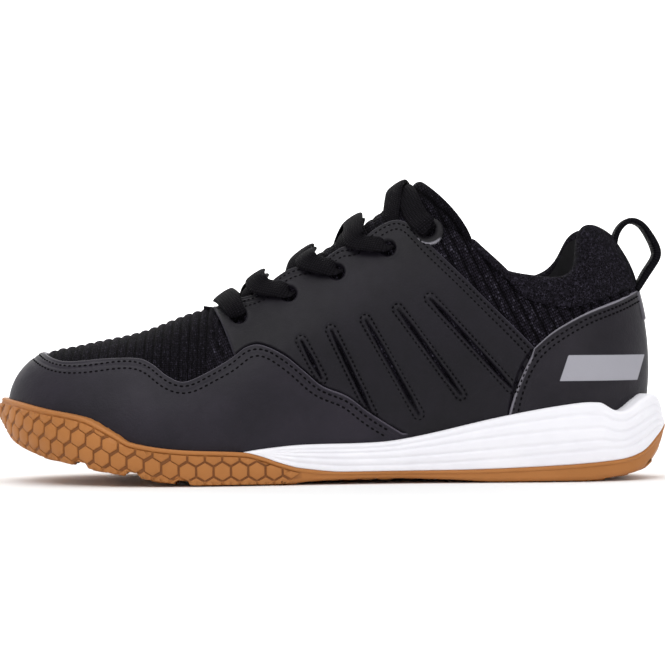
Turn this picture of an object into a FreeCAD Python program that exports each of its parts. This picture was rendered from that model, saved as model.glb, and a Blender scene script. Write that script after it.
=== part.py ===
"""Court shoe, left foot, EU 38: cupsole, knit upper with leather overlays, tongue, lace and pull loop.

Frame: millimetres, +X from heel to toe, +Y to the outer (lateral) side, +Z up, origin on the
ground under the middle of the outsole.  The upper follows one smooth form: ribs run from the
sole line up to the top line, and every layer is that form moved in or out along its normal.
"""
import FreeCAD, Part
import math
import os

Vector = FreeCAD.Vector
doc = FreeCAD.newDocument("court_shoe")

# ---------------------------------------------------------------- driving dimensions
SIZES = [
    ("knit_thickness", 1.2), ("vamp_ease", 0.2), ("leather_thickness", 1.2), ("skin_gap", 0.15),
    ("lining_offset", 2.8), ("lining_thickness", 0.8), ("stiffener_offset", 1.5),
    ("stiffener_thickness", 1.0), ("tray_clearance", 0.3), ("board_thickness", 1.5),
    ("sockliner_thickness", 4.2), ("sockliner_cover_thickness", 0.8), ("layer_gap", 0.2),
    ("sole_height", 60.0), ("outsole_floor", 3.8), ("insert_inset", 6.0),
    ("flex_groove_width", 3.2), ("flex_groove_depth", 2.2), ("slit_width", 2.2),
    ("eyelet_hole", 5.2), ("eyelet_ring_outer", 9.0), ("eyelet_ring_thickness", 1.1),
    ("lace_width", 7.5), ("lace_thickness", 1.1), ("aglet_length", 22.0), ("aglet_diameter", 2.6),
    ("loop_webbing", 2.0), ("loop_width", 12.0), ("collar_roll", 3.0), ("collar_cover", 0.8),
    ("tongue_foam_thickness", 3.5), ("tongue_skin", 0.9), ("patch_thickness", 0.8),
]
sheet = doc.addObject("Spreadsheet::Sheet", "dimensions")
for row, (alias, value) in enumerate(SIZES, start=1):
    sheet.set("A%d" % row, alias)
    sheet.set("B%d" % row, str(value))
    sheet.setAlias("B%d" % row, alias)
doc.recompute()


def size(alias):
    """A driving dimension, read from the spreadsheet."""
    return float(getattr(sheet, alias))


# ---------------------------------------------------------------- the form of the upper
# One rib per row, from toe centre to heel centre:
# sole point x, y, z | top point x, y, z | bulge, lower handle, upper handle, crown angle
LATERAL = [
    (130, -5, 25,       107, -4, 53.6,     1.5, 17, 14, 8),
    (124.5, 10, 24,     105.5, -4, 53.8,   2.5, 18, 15, 7),
    (113, 25, 19.5,     100.5, -3.8, 54.8, 2.5, 20, 19, 5),
    (97, 36, 15,        91, -3, 56.8,      2, 22, 23, 4),
    (76, 43, 11,        74, -1.5, 60.8,    2, 25, 26, 4),
    (55, 44, 9.5,       54, 0, 68,         1.5, 28, 25, 12),
    (37, 41.5, 9.8,     38, 11, 70.8,      1.5, 30, 24, 36),
    (20, 38, 10.5,      21.5, 15, 79.8,    2, 34, 22, 48),
    (2, 34.5, 11.3,     4, 16.5, 87.6,     2.5, 37, 24, 54),
    (-15, 32.5, 12.5,   -13.5, 17.5, 95,   3.5, 40, 24, 60),
    (-34, 31, 14.5,     -33, 19, 101.2,    4.5, 40, 24, 66),
    (-50, 30.5, 16.5,   -50, 22, 98.6,     5, 38, 24, 72),
    (-67, 30.3, 18.6,   -64.5, 25.5, 86.6, 5, 32, 22, 80),
    (-84, 29.7, 20.4,   -80, 27.5, 82.1,   5, 26, 20, 84),
    (-100, 26.5, 21.8,  -95.5, 24.5, 84.2, 5, 26, 22, 84),
    (-113, 18.5, 22.4,  -101, 20, 100.4,   5, 28, 26, 74),
    (-121, 8.5, 22.5,   -108, 11, 102,     5.5, 28, 28, 66),
    (-123.5, 0, 22.5,   -111.5, 0, 100.3,  5.5, 28, 28, 62),
]
MEDIAL = [
    (124.5, -19, 24,    105.5, -4, 53.8,   2.5, 18, 15, 7),
    (113, -31, 19.5,    100.5, -3.8, 54.8, 2.5, 20, 19, 5),
    (97, -39.5, 15,     91, -3, 56.8,      2, 22, 23, 4),
    (76, -43.5, 11,     74, -1.5, 60.8,    2, 25, 26, 4),
    (55, -42, 9.5,      54, 0, 68,         1.5, 28, 25, 12),
    (37, -38.5, 9.8,    38, -11.5, 70.8,   1.5, 30, 24, 36),
    (20, -34.5, 10.5,   21.5, -16, 79.8,   2, 34, 22, 48),
    (2, -31, 11.3,      4, -17, 87.6,      2.5, 37, 24, 54),
    (-15, -29, 12.5,    -13.5, -18, 95,    3.5, 40, 24, 60),
    (-34, -28, 14.5,    -33, -19.5, 101.2, 4.5, 40, 24, 66),
    (-50, -28.5, 16.5,  -50, -22, 98.6,    5, 38, 24, 72),
    (-67, -29, 18.6,    -64.5, -25, 86.6,  5, 32, 22, 80),
    (-84, -29, 20.4,    -79, -27, 82.4,    5, 26, 20, 84),
    (-100, -26, 21.8,   -91.5, -25, 87.5,  5, 26, 22, 84),
    (-113, -18, 22.4,   -99.5, -20.5, 99.4, 5, 28, 26, 74),
    (-121, -8.5, 22.5,  -108, -11, 102,    5.5, 28, 28, 66),
]
RIBS = LATERAL + MEDIAL[::-1]
RIB_COUNT = len(RIBS)
HEEL = len(LATERAL) - 1        # rib at the centre of the heel
THROAT = 5                     # rib where the throat opens; in front of it both sides share a crest
SOLE_EDGE = 0.015              # every layer starts this far up a rib


def rib_handles(index):
    """The four Bezier points of one rib: sole point, lower handle, upper handle, top point."""
    x0, y0, z0, xr, yr, zr, bulge, low, high, angle = RIBS[index]
    after = RIBS[(index + 1) % RIB_COUNT]
    before = RIBS[index - 1]
    along = Vector(after[0] - before[0], after[1] - before[1], 0).normalize()
    outward = Vector(-along.y, along.x, 0)
    if outward.x * x0 + outward.y * y0 < 0:
        outward = outward * -1.0
    crown = Vector(x0 - xr, y0 - yr, 0).normalize()
    if index == 0:
        outward = Vector(1, 0, 0)
        crown = Vector(1, 0, 0)
    slope = math.radians(angle)
    foot = Vector(x0, y0, z0)
    top = Vector(xr, yr, zr)
    lower = foot + outward * bulge + Vector(0, 0, low)
    upper = top + (crown * math.cos(slope) - Vector(0, 0, math.sin(slope))) * high
    return [foot, lower, upper, top]


HANDLES = [rib_handles(index) for index in range(RIB_COUNT)]


def closed_spline_moments(points):
    """Second derivatives of the smooth closed curve through evenly numbered points."""
    count = len(points)
    bend = [(points[i - 1] - points[i] * 2 + points[(i + 1) % count]) * 6 for i in range(count)]
    moments = [Vector() for _ in range(count)]
    for _ in range(40):
        moments = [(bend[i] - moments[i - 1] - moments[(i + 1) % count]) * 0.25 for i in range(count)]
    return moments


LINES = [[handles[k] for handles in HANDLES] for k in range(4)]
MOMENTS = [closed_spline_moments(line) for line in LINES]


def handle_line(k, q):
    """Point of handle line k at rib number q, which may be any real number."""
    q = q % RIB_COUNT
    i = int(q) % RIB_COUNT
    j = (i + 1) % RIB_COUNT
    s = q - int(q)
    a = 1.0 - s
    points, moments = LINES[k], MOMENTS[k]
    bend = moments[i] * ((a ** 3 - a) / 6) + moments[j] * ((s ** 3 - s) / 6)
    return points[i] * a + points[j] * s + bend


def form(q, up):
    """Point of the upper's form on rib q, up from 0 at the sole line to 1 at the top line."""
    top = handle_line(3, q)
    side = q % RIB_COUNT
    side = min(side, RIB_COUNT - side)
    if side <= THROAT:
        top = (top + handle_line(3, -q)) * 0.5
    down = 1.0 - up
    return (handle_line(0, q) * down ** 3 + handle_line(1, q) * (3 * down * down * up)
            + handle_line(2, q) * (3 * down * up * up) + top * up ** 3)


def form_normal(q, up):
    """Outward unit normal of the form."""
    step = 0.002
    across = form(q + step, up) - form(q - step, up)
    rise = form(q, min(up + step, 1.0)) - form(q, max(up - step, 0.0))
    return across.cross(rise).normalize()


def find_rise(q, test, low=0.0, high=1.0):
    """Where test(point) turns from negative to positive going up rib q; high if it never does."""
    steps = 48
    last = low
    for n in range(1, steps + 1):
        here = low + (high - low) * n / steps
        if test(form(q, here)) >= 0:
            a, b = last, here
            for _ in range(24):
                middle = 0.5 * (a + b)
                if test(form(q, middle)) >= 0:
                    b = middle
                else:
                    a = middle
            return b
        last = here
    return high


def find_on_side(x, z, side=1):
    """Rib number and rise of the form's point seen at x, z from the outer side (or inner, side -1)."""
    q = max(n for n in range(HEEL) if RIBS[n][0] >= x) + 0.5
    up = 0.8
    for _ in range(30):
        here = form(side * q, up)
        dq = (form(side * (q + 0.01), up) - here) * 100.0
        du = (here - form(side * q, up - 0.01)) * 100.0
        ex, ez = x - here.x, z - here.z
        det = dq.x * du.z - du.x * dq.z
        q += max(-0.5, min(0.5, (ex * du.z - ez * du.x) / det))
        up += max(-0.2, min(0.2, (ez * dq.x - ex * dq.z) / det))
        up = min(up, 0.995)
    return side * q, up


def curve_height(points, x):
    """Height at x of an edge given by points (x, z) running from toe to heel, smoothly joined."""
    if x >= points[0][0]:
        return points[0][1]
    if x <= points[-1][0]:
        return points[-1][1]
    n = max(i for i in range(len(points) - 1) if points[i][0] >= x)
    (x0, z0), (x1, z1) = points[n], points[n + 1]

    def slope(i):
        if i == 0 or i == len(points) - 1:
            return None
        (xa, za), (xb, zb) = points[i - 1], points[i + 1]
        return (zb - za) / (xb - xa)
    chord = (z1 - z0) / (x1 - x0)
    m0 = slope(n) if slope(n) is not None else chord
    m1 = slope(n + 1) if slope(n + 1) is not None else chord
    s = (x - x0) / (x1 - x0)
    width = x1 - x0
    return ((2 * s ** 3 - 3 * s ** 2 + 1) * z0 + (s ** 3 - 2 * s ** 2 + s) * width * m0
            + (3 * s ** 2 - 2 * s ** 3) * z1 + (s ** 3 - s ** 2) * width * m1)


# Edges of the overlays, as heights along the shoe (x, z)
GUARD_EDGE = [(117.5, 52), (111, 48.8), (104.5, 47.6), (88, 48.8), (75, 48.7), (69.5, 46.2),
              (64.5, 42.4), (58, 40), (49.4, 43.2), (39.4, 48.9), (33.5, 53.2), (27.9, 54.2),
              (18.6, 50.1), (10.9, 44), (4.3, 38.5), (-5.8, 34.2), (-14, 28.1), (-21.8, 23),
              (-30, 18)]
QUARTER_EDGE = [(-31, 101.5), (-34.4, 98.6), (-38.4, 94.1), (-49.9, 82.5), (-61.5, 70.7),
                (-74.2, 58), (-78.1, 51.3)]
COUNTER_EDGE = [(-77.8, 51.3), (-85.5, 58), (-93.1, 62.7), (-101.6, 66.9), (-113.2, 70.9),
                (-124, 75.2)]
COLLAR_SEAM = [(-60, 88), (-69.6, 78.7), (-73.7, 74.4), (-78.8, 70.9), (-85.8, 69.3),
               (-94.1, 68.4), (-102, 70), (-112.2, 73.4), (-122, 77)]
EYELETS = [(36.4, 65.1), (16.6, 74), (-2.4, 82.6), (-22.5, 91.9), (-38.7, 98.6)]
SLITS = [((11.9, 55.4), (4.3, 41)), ((0.2, 59.6), (-15.1, 27.3)), ((-13.3, 63.6), (-33.6, 27.1)),
         ((-26, 67.8), (-50.2, 34.6)), ((-38.6, 71.9), (-70.1, 37.1))]


def rise_at_edge(q, edge, above=0.0):
    """How far up rib q an overlay's edge lies, moved up by a few millimetres."""
    return find_rise(q, lambda p: p.z - curve_height(edge, p.x) - above)


# ---------------------------------------------------------------- solids between two surfaces
def grid_normals(grid):
    """Unit normals of a grid of points, by differences between neighbours."""
    rows, columns = len(grid), len(grid[0])
    normals = []
    for i in range(rows):
        line = []
        for j in range(columns):
            across = grid[min(i + 1, rows - 1)][j] - grid[max(i - 1, 0)][j]
            along = grid[i][min(j + 1, columns - 1)] - grid[i][max(j - 1, 0)]
            line.append(across.cross(along).normalize())
        normals.append(line)
    return normals


def moved(grid, normals, distance):
    """The grid moved along its normals."""
    return [[p + n * distance for p, n in zip(*lines)] for lines in zip(grid, normals)]


def solid_between(outer, inner):
    """Solid bounded by two smooth surfaces through grids of points and by straight sides."""
    surfaces = []
    for grid in (outer, inner):
        surface = Part.BSplineSurface()
        surface.interpolate(grid)
        surfaces.append(surface)
    faces = [surface.toShape() for surface in surfaces]
    for first in (True, False):
        for iso in ("uIso", "vIso"):
            edges = []
            for surface in surfaces:
                u0, u1, v0, v1 = surface.bounds()
                ends = (u0, u1) if iso == "uIso" else (v0, v1)
                edges.append(getattr(surface, iso)(ends[0] if first else ends[1]).toShape())
            faces.append(Part.makeRuledSurface(edges[0], edges[1]))
    shell = Part.makeShell(faces)
    shell.sewShape()
    solid = Part.makeSolid(Part.Shell(shell.Faces))
    if solid.Volume < 0:
        solid.reverse()
    return solid


def layer(grid, outer_offset, inner_offset):
    """A sheet of material that follows a grid of the form between two offsets."""
    normals = grid_normals(grid)
    return solid_between(moved(grid, normals, outer_offset), moved(grid, normals, inner_offset))


def fan_grid(q_from, q_to, low, high, columns, rows):
    """Grid over the form between two ribs and two rises; each may be a number or a function."""
    def value(thing, at):
        return thing(at) if callable(thing) else thing
    grid = []
    for i in range(columns):
        line = []
        for j in range(rows):
            w = j / (rows - 1)
            q = value(q_from, w) + (value(q_to, w) - value(q_from, w)) * i / (columns - 1)
            bottom = value(low, q)
            line.append(form(q, bottom + (value(high, q) - bottom) * w))
        grid.append(line)
    return grid


ARCH_X = 110.0      # arches stand upright behind this line and lean over it at the toe
ARCH_Z = 10.0


def arch_points(tilt, x, low, half):
    """One arch over the front of the form, from the outer sole line over the crest to the inner.

    At the toe the arch lies in a plane tilted about a cross axis; further back x is constant.
    """
    if tilt is not None:
        def ahead(p):
            return (p.x - ARCH_X) * math.sin(tilt) - (p.z - ARCH_Z) * math.cos(tilt)
    else:
        def ahead(p):
            return p.x - x

    def crossing(side, up):
        a, b = 0.0, float(THROAT) + 0.6
        for _ in range(40):
            middle = 0.5 * (a + b)
            if ahead(form(side * middle, up)) > 0:
                a = middle
            else:
                b = middle
        return form(side * a, up)
    if ahead(form(0, 1.0)) > 0:
        top = 1.0
    else:
        a, b = 0.0, 1.0
        for _ in range(40):
            middle = 0.5 * (a + b)
            if ahead(form(0, middle)) > 0:
                a = middle
            else:
                b = middle
        top = a
    points = []
    for side in (1, -1):
        line = []
        for j in range(half + 1):
            w = j / half
            up = low + (top - low) * (1 - (1 - w) ** 1.5)
            line.append(crossing(side, up))
        points.append(line)
    middle = (points[0][-1] + points[1][-1]) * 0.5
    return points[0][:-1] + [middle] + points[1][:-1][::-1]


def arch_grid(first_tilt, x_end, low, arches, half=12):
    """Grid of arches over the toe and vamp, back to x_end."""
    upright = math.radians(90)
    tilts = [math.radians(first_tilt) + (upright - math.radians(first_tilt)) * i / arches
             for i in range(arches)]
    stations = [ARCH_X - (ARCH_X - x_end) * i / arches for i in range(arches + 1)]
    grid = [arch_points(tilt, None, low, half) for tilt in tilts]
    grid += [arch_points(None, x, low, half) for x in stations]
    return grid


# ---------------------------------------------------------------- document helpers
nodes = []


def keep(thing, label):
    """Name a finished sub-part and list it for export."""
    thing.Label = label
    nodes.append(thing)
    return thing


def feature(label, shape):
    """A sub-part whose shape follows the form of the upper."""
    thing = doc.addObject("Part::Feature", label)
    thing.Shape = shape
    return keep(thing, label)


def spline(points, closed=False):
    """Smooth curve through points (x, y) of a sketch."""
    curve = Part.BSplineCurve()
    curve.interpolate([Vector(x, y, 0) for x, y in points], PeriodicFlag=closed)
    return curve


def sketch_of(name, curves, upright):
    """Free sketch: flat on the ground, or upright along the shoe with z as its second axis."""
    sketch = doc.addObject("Sketcher::SketchObject", name)
    for curve in curves:
        sketch.addGeometry(curve, False)
    if upright:
        sketch.Placement = FreeCAD.Placement(Vector(), FreeCAD.Rotation(Vector(1, 0, 0), 90))
    return sketch


def extrude(name, sketch, length_alias, both_ways=False):
    """Solid extrusion of a sketch, as long as a named dimension."""
    solid = doc.addObject("Part::Extrusion", name)
    solid.Base = sketch
    solid.DirMode = "Normal"
    solid.Solid = True
    solid.Symmetric = both_ways
    solid.setExpression("LengthFwd", "dimensions." + length_alias)
    return solid


def combine(kind, name, *shapes):
    """Part::Cut takes a base and a tool; MultiCommon and MultiFuse take a list."""
    result = doc.addObject(kind, name)
    if kind == "Part::Cut":
        result.Base, result.Tool = shapes
    else:
        result.Shapes = list(shapes)
    return result


def upright_area(name, lower, upper):
    """Area between a lower and an upper edge, both lists of curves from toe to heel."""
    toe_low = lower[0].StartPoint
    toe_high = upper[0].StartPoint
    heel_low = lower[-1].EndPoint
    heel_high = upper[-1].EndPoint
    curves = list(lower) + list(upper)
    for a, b in ((toe_low, toe_high), (heel_low, heel_high)):
        if a.distanceToPoint(b) > 0.01:
            curves.append(Part.LineSegment(a, b))
    return sketch_of(name, curves, True)


def line(x0, z0, x1, z1):
    """Straight edge in an upright sketch."""
    return Part.LineSegment(Vector(x0, z0, 0), Vector(x1, z1, 0))


# ---------------------------------------------------------------- sole
PLAN = [(134, -5), (131, 5), (125, 17), (113, 31), (97, 42), (76, 48.6), (55, 48.8), (30, 45.5),
        (0, 39.8), (-30, 36), (-60, 35), (-85, 34.4), (-105, 31.2), (-120, 24), (-129.5, 13),
        (-134, 0), (-129.5, -13), (-120, -24), (-105, -31), (-85, -34), (-60, -33.4), (-30, -33),
        (0, -36), (30, -43), (55, -47.6), (76, -48.8), (97, -45), (113, -36.5), (125, -25.5),
        (131, -15.5)]
BOTTOM_TOE = [(140, 30), (133.5, 22.8), (127.6, 15.9), (114.8, 10.9), (97.8, 7.1), (78, 3.5),
              (66, 1.5), (56, 0)]
BOTTOM_SHANK = [(22, 0), (4, 1.2), (-20, 1.7), (-45, 1), (-64, 0)]
BOTTOM_HEEL = [(-98, 0), (-113, 1.6), (-122, 3.6), (-130.5, 11), (-134, 18), (-140, 34)]
GUM_TOP = [(140, 37), (129.6, 34.6), (114.8, 30.6), (97.8, 27.3), (85.8, 21.2), (77.8, 17),
           (58.5, 14.2), (34, 13)]
GUM_STRIP = [(34, 13), (27.8, 11.5), (20, 8.7), (12.4, 6.7), (-5, 5), (-46, 5.2), (-85, 6.5),
             (-113.2, 8.6), (-122, 11), (-130.5, 18), (-134, 22), (-140, 34)]
FOAM_TOP = [(34, 13), (27.8, 14), (12.4, 15.5), (-18.7, 16.3), (-34, 18.6), (-65.5, 25.7),
            (-89, 29.9), (-104.9, 31), (-111, 28), (-116, 27.9), (-123, 32), (-127.5, 34),
            (-130.5, 32), (-132.4, 26.5), (-134, 23.6), (-136.5, 29), (-140, 34)]
FLOOR = [(140, 25.5), (130, 25), (124, 23.6), (113, 19.3), (97, 14.8), (76, 10.8), (55, 9.3),
         (37, 9.6), (20, 10.3), (2, 11.1), (-15, 12.3), (-34, 14.3), (-50, 16.3), (-67, 18.4),
         (-84, 20.2), (-100, 21.6), (-113, 22.2), (-140, 22.4)]
FLEX_GROOVES = [98, 77, 58]


def raised(points, rise):
    """An edge moved straight up."""
    return [(x, z + rise) for x, z in points]


def outline_between(name, lower_points, upper_points):
    """Upright area between two smooth edges with the same x at both ends."""
    return upright_area(name, [spline(lower_points)], [spline(upper_points)])


def ring_of_form(offset, bulge_share):
    """Closed plan outline of the upper at the sole line, moved outward; one point per rib."""
    ring = []
    for index, (foot, lower, _, _) in enumerate(HANDLES):
        outward = Vector(lower.x - foot.x, lower.y - foot.y, 0).normalize()
        point = foot + outward * (offset + bulge_share * RIBS[index][6])
        ring.append((point.x, point.y))
    return ring


overlay_face = size("skin_gap") + size("leather_thickness")
lining_face = size("lining_offset") + size("lining_thickness")
tray_ring = ring_of_form(overlay_face + size("tray_clearance"), 0.42)
bed_ring = ring_of_form(-lining_face - size("tray_clearance"), 0.0)

plan = extrude("plan", sketch_of("plan_sketch", [spline(PLAN, closed=True)], False), "sole_height")
tray_core = extrude("tray_core", sketch_of("tray_sketch", [spline(tray_ring, closed=True)], False),
                    "sole_height")
bed_core = extrude("bed_core", sketch_of("bed_sketch", [spline(bed_ring, closed=True)], False),
                   "sole_height")
above_floor = extrude("above_floor", outline_between("floor_sketch", FLOOR, raised(FLOOR, 45)),
                      "sole_height", both_ways=True)
above_floor.setExpression("LengthFwd", "dimensions.sole_height * 2")
tray = combine("Part::MultiCommon", "tray", tray_core, above_floor)


def sole_bottom(x):
    """Height of the outsole's underside along the forefoot."""
    return curve_height(BOTTOM_TOE, x) if x > BOTTOM_TOE[-1][0] else 0.0


def flex_groove(x):
    """One cross groove pressed up into the bottom of the forefoot."""
    depth = size("flex_groove_depth")
    bottom = sole_bottom(x)
    groove = doc.addObject("Part::Box", "flex_groove")
    groove.setExpression("Length", "dimensions.flex_groove_width")
    groove.Width = 120
    groove.setExpression("Height", "dimensions.flex_groove_depth * 3")
    groove.Placement.Base = Vector(x - size("flex_groove_width") / 2, -60, bottom - 2 * depth)
    return groove


def build_sole():
    """Gum cup outsole and the foam midsole wedge that sits in it and shows above it."""
    bottom = [spline(BOTTOM_TOE), line(56, 0, 22, 0), spline(BOTTOM_SHANK), line(-64, 0, -98, 0),
              spline(BOTTOM_HEEL)]
    cup_area = upright_area("cup_sketch", bottom, [spline(GUM_TOP), spline(GUM_STRIP)])
    cup = extrude("cup_band", cup_area, "sole_height", both_ways=True)
    cup.setExpression("LengthFwd", "dimensions.sole_height * 2")
    foam_area = upright_area("foam_sketch", [spline(GUM_STRIP)], [spline(FOAM_TOP)])
    wedge = extrude("wedge_band", foam_area, "sole_height", both_ways=True)
    wedge.setExpression("LengthFwd", "dimensions.sole_height * 2")

    inset = size("insert_inset")
    narrow = [(x * (1 - inset / 134), y * (1 - inset / 49)) for x, y in PLAN]
    insert_plan = extrude("insert_plan", sketch_of("insert_sketch", [spline(narrow, True)], False),
                          "sole_height")
    under = [(x, z) for x, z in FLOOR if 20 <= x <= 124]
    lower = [(x, sole_bottom(x) + size("outsole_floor")) for x, z in under]
    insert_area = outline_between("insert_area", lower, raised(under, 3))
    insert_band = extrude("insert_band", insert_area, "sole_height", both_ways=True)
    insert_band.setExpression("LengthFwd", "dimensions.sole_height * 2")
    insert = combine("Part::MultiCommon", "forefoot_insert", insert_plan, insert_band)

    wedge_block = combine("Part::MultiCommon", "wedge_block", plan, wedge)
    foam = combine("Part::MultiFuse", "foam_block", wedge_block, insert)
    midsole = keep(combine("Part::Cut", "midsole", foam, tray), "midsole")

    cup_block = combine("Part::MultiCommon", "cup_block", plan, cup)
    grooves = combine("Part::MultiFuse", "flex_grooves", *[flex_groove(x) for x in FLEX_GROOVES])
    grooved = combine("Part::Cut", "grooved_cup", cup_block, grooves)
    hollow = combine("Part::MultiFuse", "cup_hollow", tray, insert)
    outsole = keep(combine("Part::Cut", "outsole", grooved, hollow), "outsole")
    return outsole, midsole


def bed_layer(label, bottom_rise, top_rise):
    """A flat layer that lies on the floor of the cup inside the lining."""
    area = outline_between(label + "_area", raised(FLOOR, bottom_rise), raised(FLOOR, top_rise))
    band = extrude(label + "_band", area, "sole_height", both_ways=True)
    band.setExpression("LengthFwd", "dimensions.sole_height * 2")
    return keep(combine("Part::MultiCommon", label, bed_core, band), label)


def build_footbed():
    """Insole board, sockliner foam and its cover, stacked on the floor of the cup."""
    gap = size("layer_gap")
    board_top = 0.2 + size("board_thickness")
    foam_bottom = board_top + gap
    foam_top = foam_bottom + size("sockliner_thickness")
    bed_layer("insole_board", 0.2, board_top)
    bed_layer("sockliner_foam", foam_bottom, foam_top)
    bed_layer("sockliner_cover", foam_top + gap / 2, foam_top + gap / 2
              + size("sockliner_cover_thickness"))


# ---------------------------------------------------------------- upper
QUARTER_START = THROAT + 0.04
HEEL_SEAM = 0.03          # half the seam gap at the heel centre, in ribs


def side_cutters(side):
    """Tools for one side: eyelet holes through all layers, slits through the overlay."""
    holes = []
    for x, z in EYELETS:
        q, up = find_on_side(x, z, side)
        centre = form(q, up)
        normal = form_normal(q, up)
        holes.append(Part.makeCylinder(size("eyelet_hole") / 2, 16, centre - normal * 10, normal))
    slits = []
    width = size("slit_width")
    for (x0, z0), (x1, z1) in SLITS:
        slope = math.degrees(math.atan2(z1 - z0, x1 - x0))
        length = math.hypot(x1 - x0, z1 - z0)
        slit = Part.makeBox(length, 40, width, Vector(0, 0, -width / 2))
        slit.rotate(Vector(), Vector(0, 1, 0), -slope)
        slit.translate(Vector(x0, 14 if side > 0 else -54, z0))
        slits.append(slit)
    return Part.makeCompound(holes), Part.makeCompound(slits)


def build_knit():
    """Knit vamp over the toe and the two knit quarters behind it."""
    depth = size("knit_thickness")
    arches = arch_grid(41, RIBS[THROAT][3] + 0.2, SOLE_EDGE, 12)
    feature("vamp_mesh", layer(arches, -size("vamp_ease"), -depth))
    for side, label in ((1, "quarter_mesh_lateral"), (-1, "quarter_mesh_medial")):
        ends = [side * QUARTER_START, side * (HEEL - HEEL_SEAM)]
        grid = fan_grid(ends[0], ends[1], SOLE_EDGE, 0.995, 40, 10)
        if side < 0:
            grid = grid[::-1]
        feature(label, layer(grid, 0, -depth).cut(side_cutters(side)[0]))


def guard_top(q):
    """Top edge of the toe rand and side mudguard."""
    return max(rise_at_edge(q, GUARD_EDGE), SOLE_EDGE + 0.035)


def counter_front(w):
    """Front edge of the heel counter overlay leans back as it rises."""
    return 12.05 + 0.7 * w ** 1.4


def build_overlays():
    """Leather skins stitched on the knit: mudguard, two quarters and heel counter."""
    near = size("skin_gap")
    far = near + size("leather_thickness")
    guard_end = 9.6
    grid = fan_grid(-guard_end, guard_end, SOLE_EDGE, guard_top, 90, 7)
    feature("mudguard", layer(grid, far, near))

    def quarter_low(q):
        if q > guard_end + 0.12:
            return SOLE_EDGE
        return rise_at_edge(q, GUARD_EDGE, 0.8)

    def quarter_high(q):
        return min(rise_at_edge(q, QUARTER_EDGE), 0.985)

    columns, rows = 60, 12
    for side, label in ((1, "quarter_overlay_lateral"), (-1, "quarter_overlay_medial")):
        def quarter_point(i, j):
            w = j / (rows - 1)
            front = 6.05 - 0.5 * w
            back = counter_front(w * 0.98) - 0.04
            q = front + (back - front) * i / (columns - 1)
            low = quarter_low(q)
            high = max(quarter_high(q), low + 0.05)
            return form(side * q, low + (high - low) * w)
        grid = [[quarter_point(i, j) for j in range(rows)] for i in range(columns)]
        if side < 0:
            grid = grid[::-1]
        holes, slits = side_cutters(side)
        feature(label, layer(grid, far, near).cut(holes).cut(slits))

    def counter_high(q):
        return rise_at_edge(q, COUNTER_EDGE)

    grid = fan_grid(counter_front, lambda w: RIB_COUNT - counter_front(w), SOLE_EDGE, counter_high,
                    50, 10)
    feature("heel_counter_overlay", layer(grid, far, near))
    grid = fan_grid(HEEL - 0.55, HEEL + 0.55, lambda q: rise_at_edge(q, [(0, 64)]),
                    lambda q: rise_at_edge(q, COUNTER_EDGE, -0.8), 9, 7)
    patch = far + near
    feature("heel_patch", layer(grid, patch + size("patch_thickness"), patch))


def build_inner_layers():
    """Toe puff, heel stiffener, eyestay reinforcements and linings."""
    gap = size("stiffener_offset")
    thick = size("stiffener_thickness")
    feature("toe_puff", layer(arch_grid(50, 94, 0.05, 9), -gap, -gap - thick))

    def stiffener_high(q):
        return rise_at_edge(q, COUNTER_EDGE, -6)

    grid = fan_grid(13, RIB_COUNT - 13, 0.03, stiffener_high, 40, 8)
    feature("heel_counter_stiffener", layer(grid, -gap, -gap - thick))

    for side, label in ((1, "eyestay_reinforcement_lateral"), (-1, "eyestay_reinforcement_medial")):
        ends = [side * 5.6, side * 10.6]
        grid = fan_grid(ends[0], ends[1], 0.76, 0.985, 24, 6)
        if side < 0:
            grid = grid[::-1]
        feature(label, layer(grid, -gap, -gap - thick).cut(side_cutters(side)[0]))

    near = size("lining_offset")
    far = near + size("lining_thickness")
    grid = arch_grid(43, RIBS[THROAT][3] + 0.4, 0.03, 9)
    feature("vamp_lining", layer(grid, -near, -far))

    def lining_high(q):
        side = min(q, RIB_COUNT - q)
        return collar_low(q) - 0.02 if side > COLLAR_FROM - 0.1 else 0.985

    def throat_high(q):
        return 0.985 - 0.08 * max(0.0, 6.4 - abs(q))

    front = fan_grid(THROAT + 0.06, COLLAR_FROM - 0.15, 0.03, throat_high, 30, 9)
    back = fan_grid(COLLAR_FROM - 0.13, RIB_COUNT - COLLAR_FROM + 0.13, 0.03,
                    lambda q: collar_low(q) - 0.02, 44, 8)
    inner = fan_grid(-(COLLAR_FROM - 0.15), -(THROAT + 0.06), 0.03, throat_high, 30, 9)
    lateral_holes, medial_holes = side_cutters(1)[0], side_cutters(-1)[0]
    feature("quarter_lining_lateral", layer(front, -near, -far).cut(lateral_holes))
    feature("quarter_lining_medial", layer(inner, -near, -far).cut(medial_holes))
    feature("heel_lining", layer(back, -near, -far))


# ---------------------------------------------------------------- padded collar
COLLAR_FROM = 11.35


def collar_crown(q):
    """Rise at which the padded roll starts to turn over, so that its top meets the top line."""
    below = form(q, 0.985).distanceToPoint(form(q, 0.9))
    return 0.985 - 0.085 * size("collar_roll") / below


def collar_low(q):
    """Lower seam of the padded collar, kept a little below the start of its turn."""
    return min(rise_at_edge(q, COLLAR_SEAM), collar_crown(q) - 0.05)


def evenly(points, count):
    """The same line through count points an equal distance apart."""
    reach = [0.0]
    for a, b in zip(points, points[1:]):
        reach.append(reach[-1] + a.distanceToPoint(b))
    spaced = []
    n = 0
    for k in range(count):
        goal = reach[-1] * k / (count - 1)
        while n < len(points) - 2 and reach[n + 1] < goal:
            n += 1
        share = (goal - reach[n]) / (reach[n + 1] - reach[n])
        spaced.append(points[n] + (points[n + 1] - points[n]) * share)
    return spaced


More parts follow.
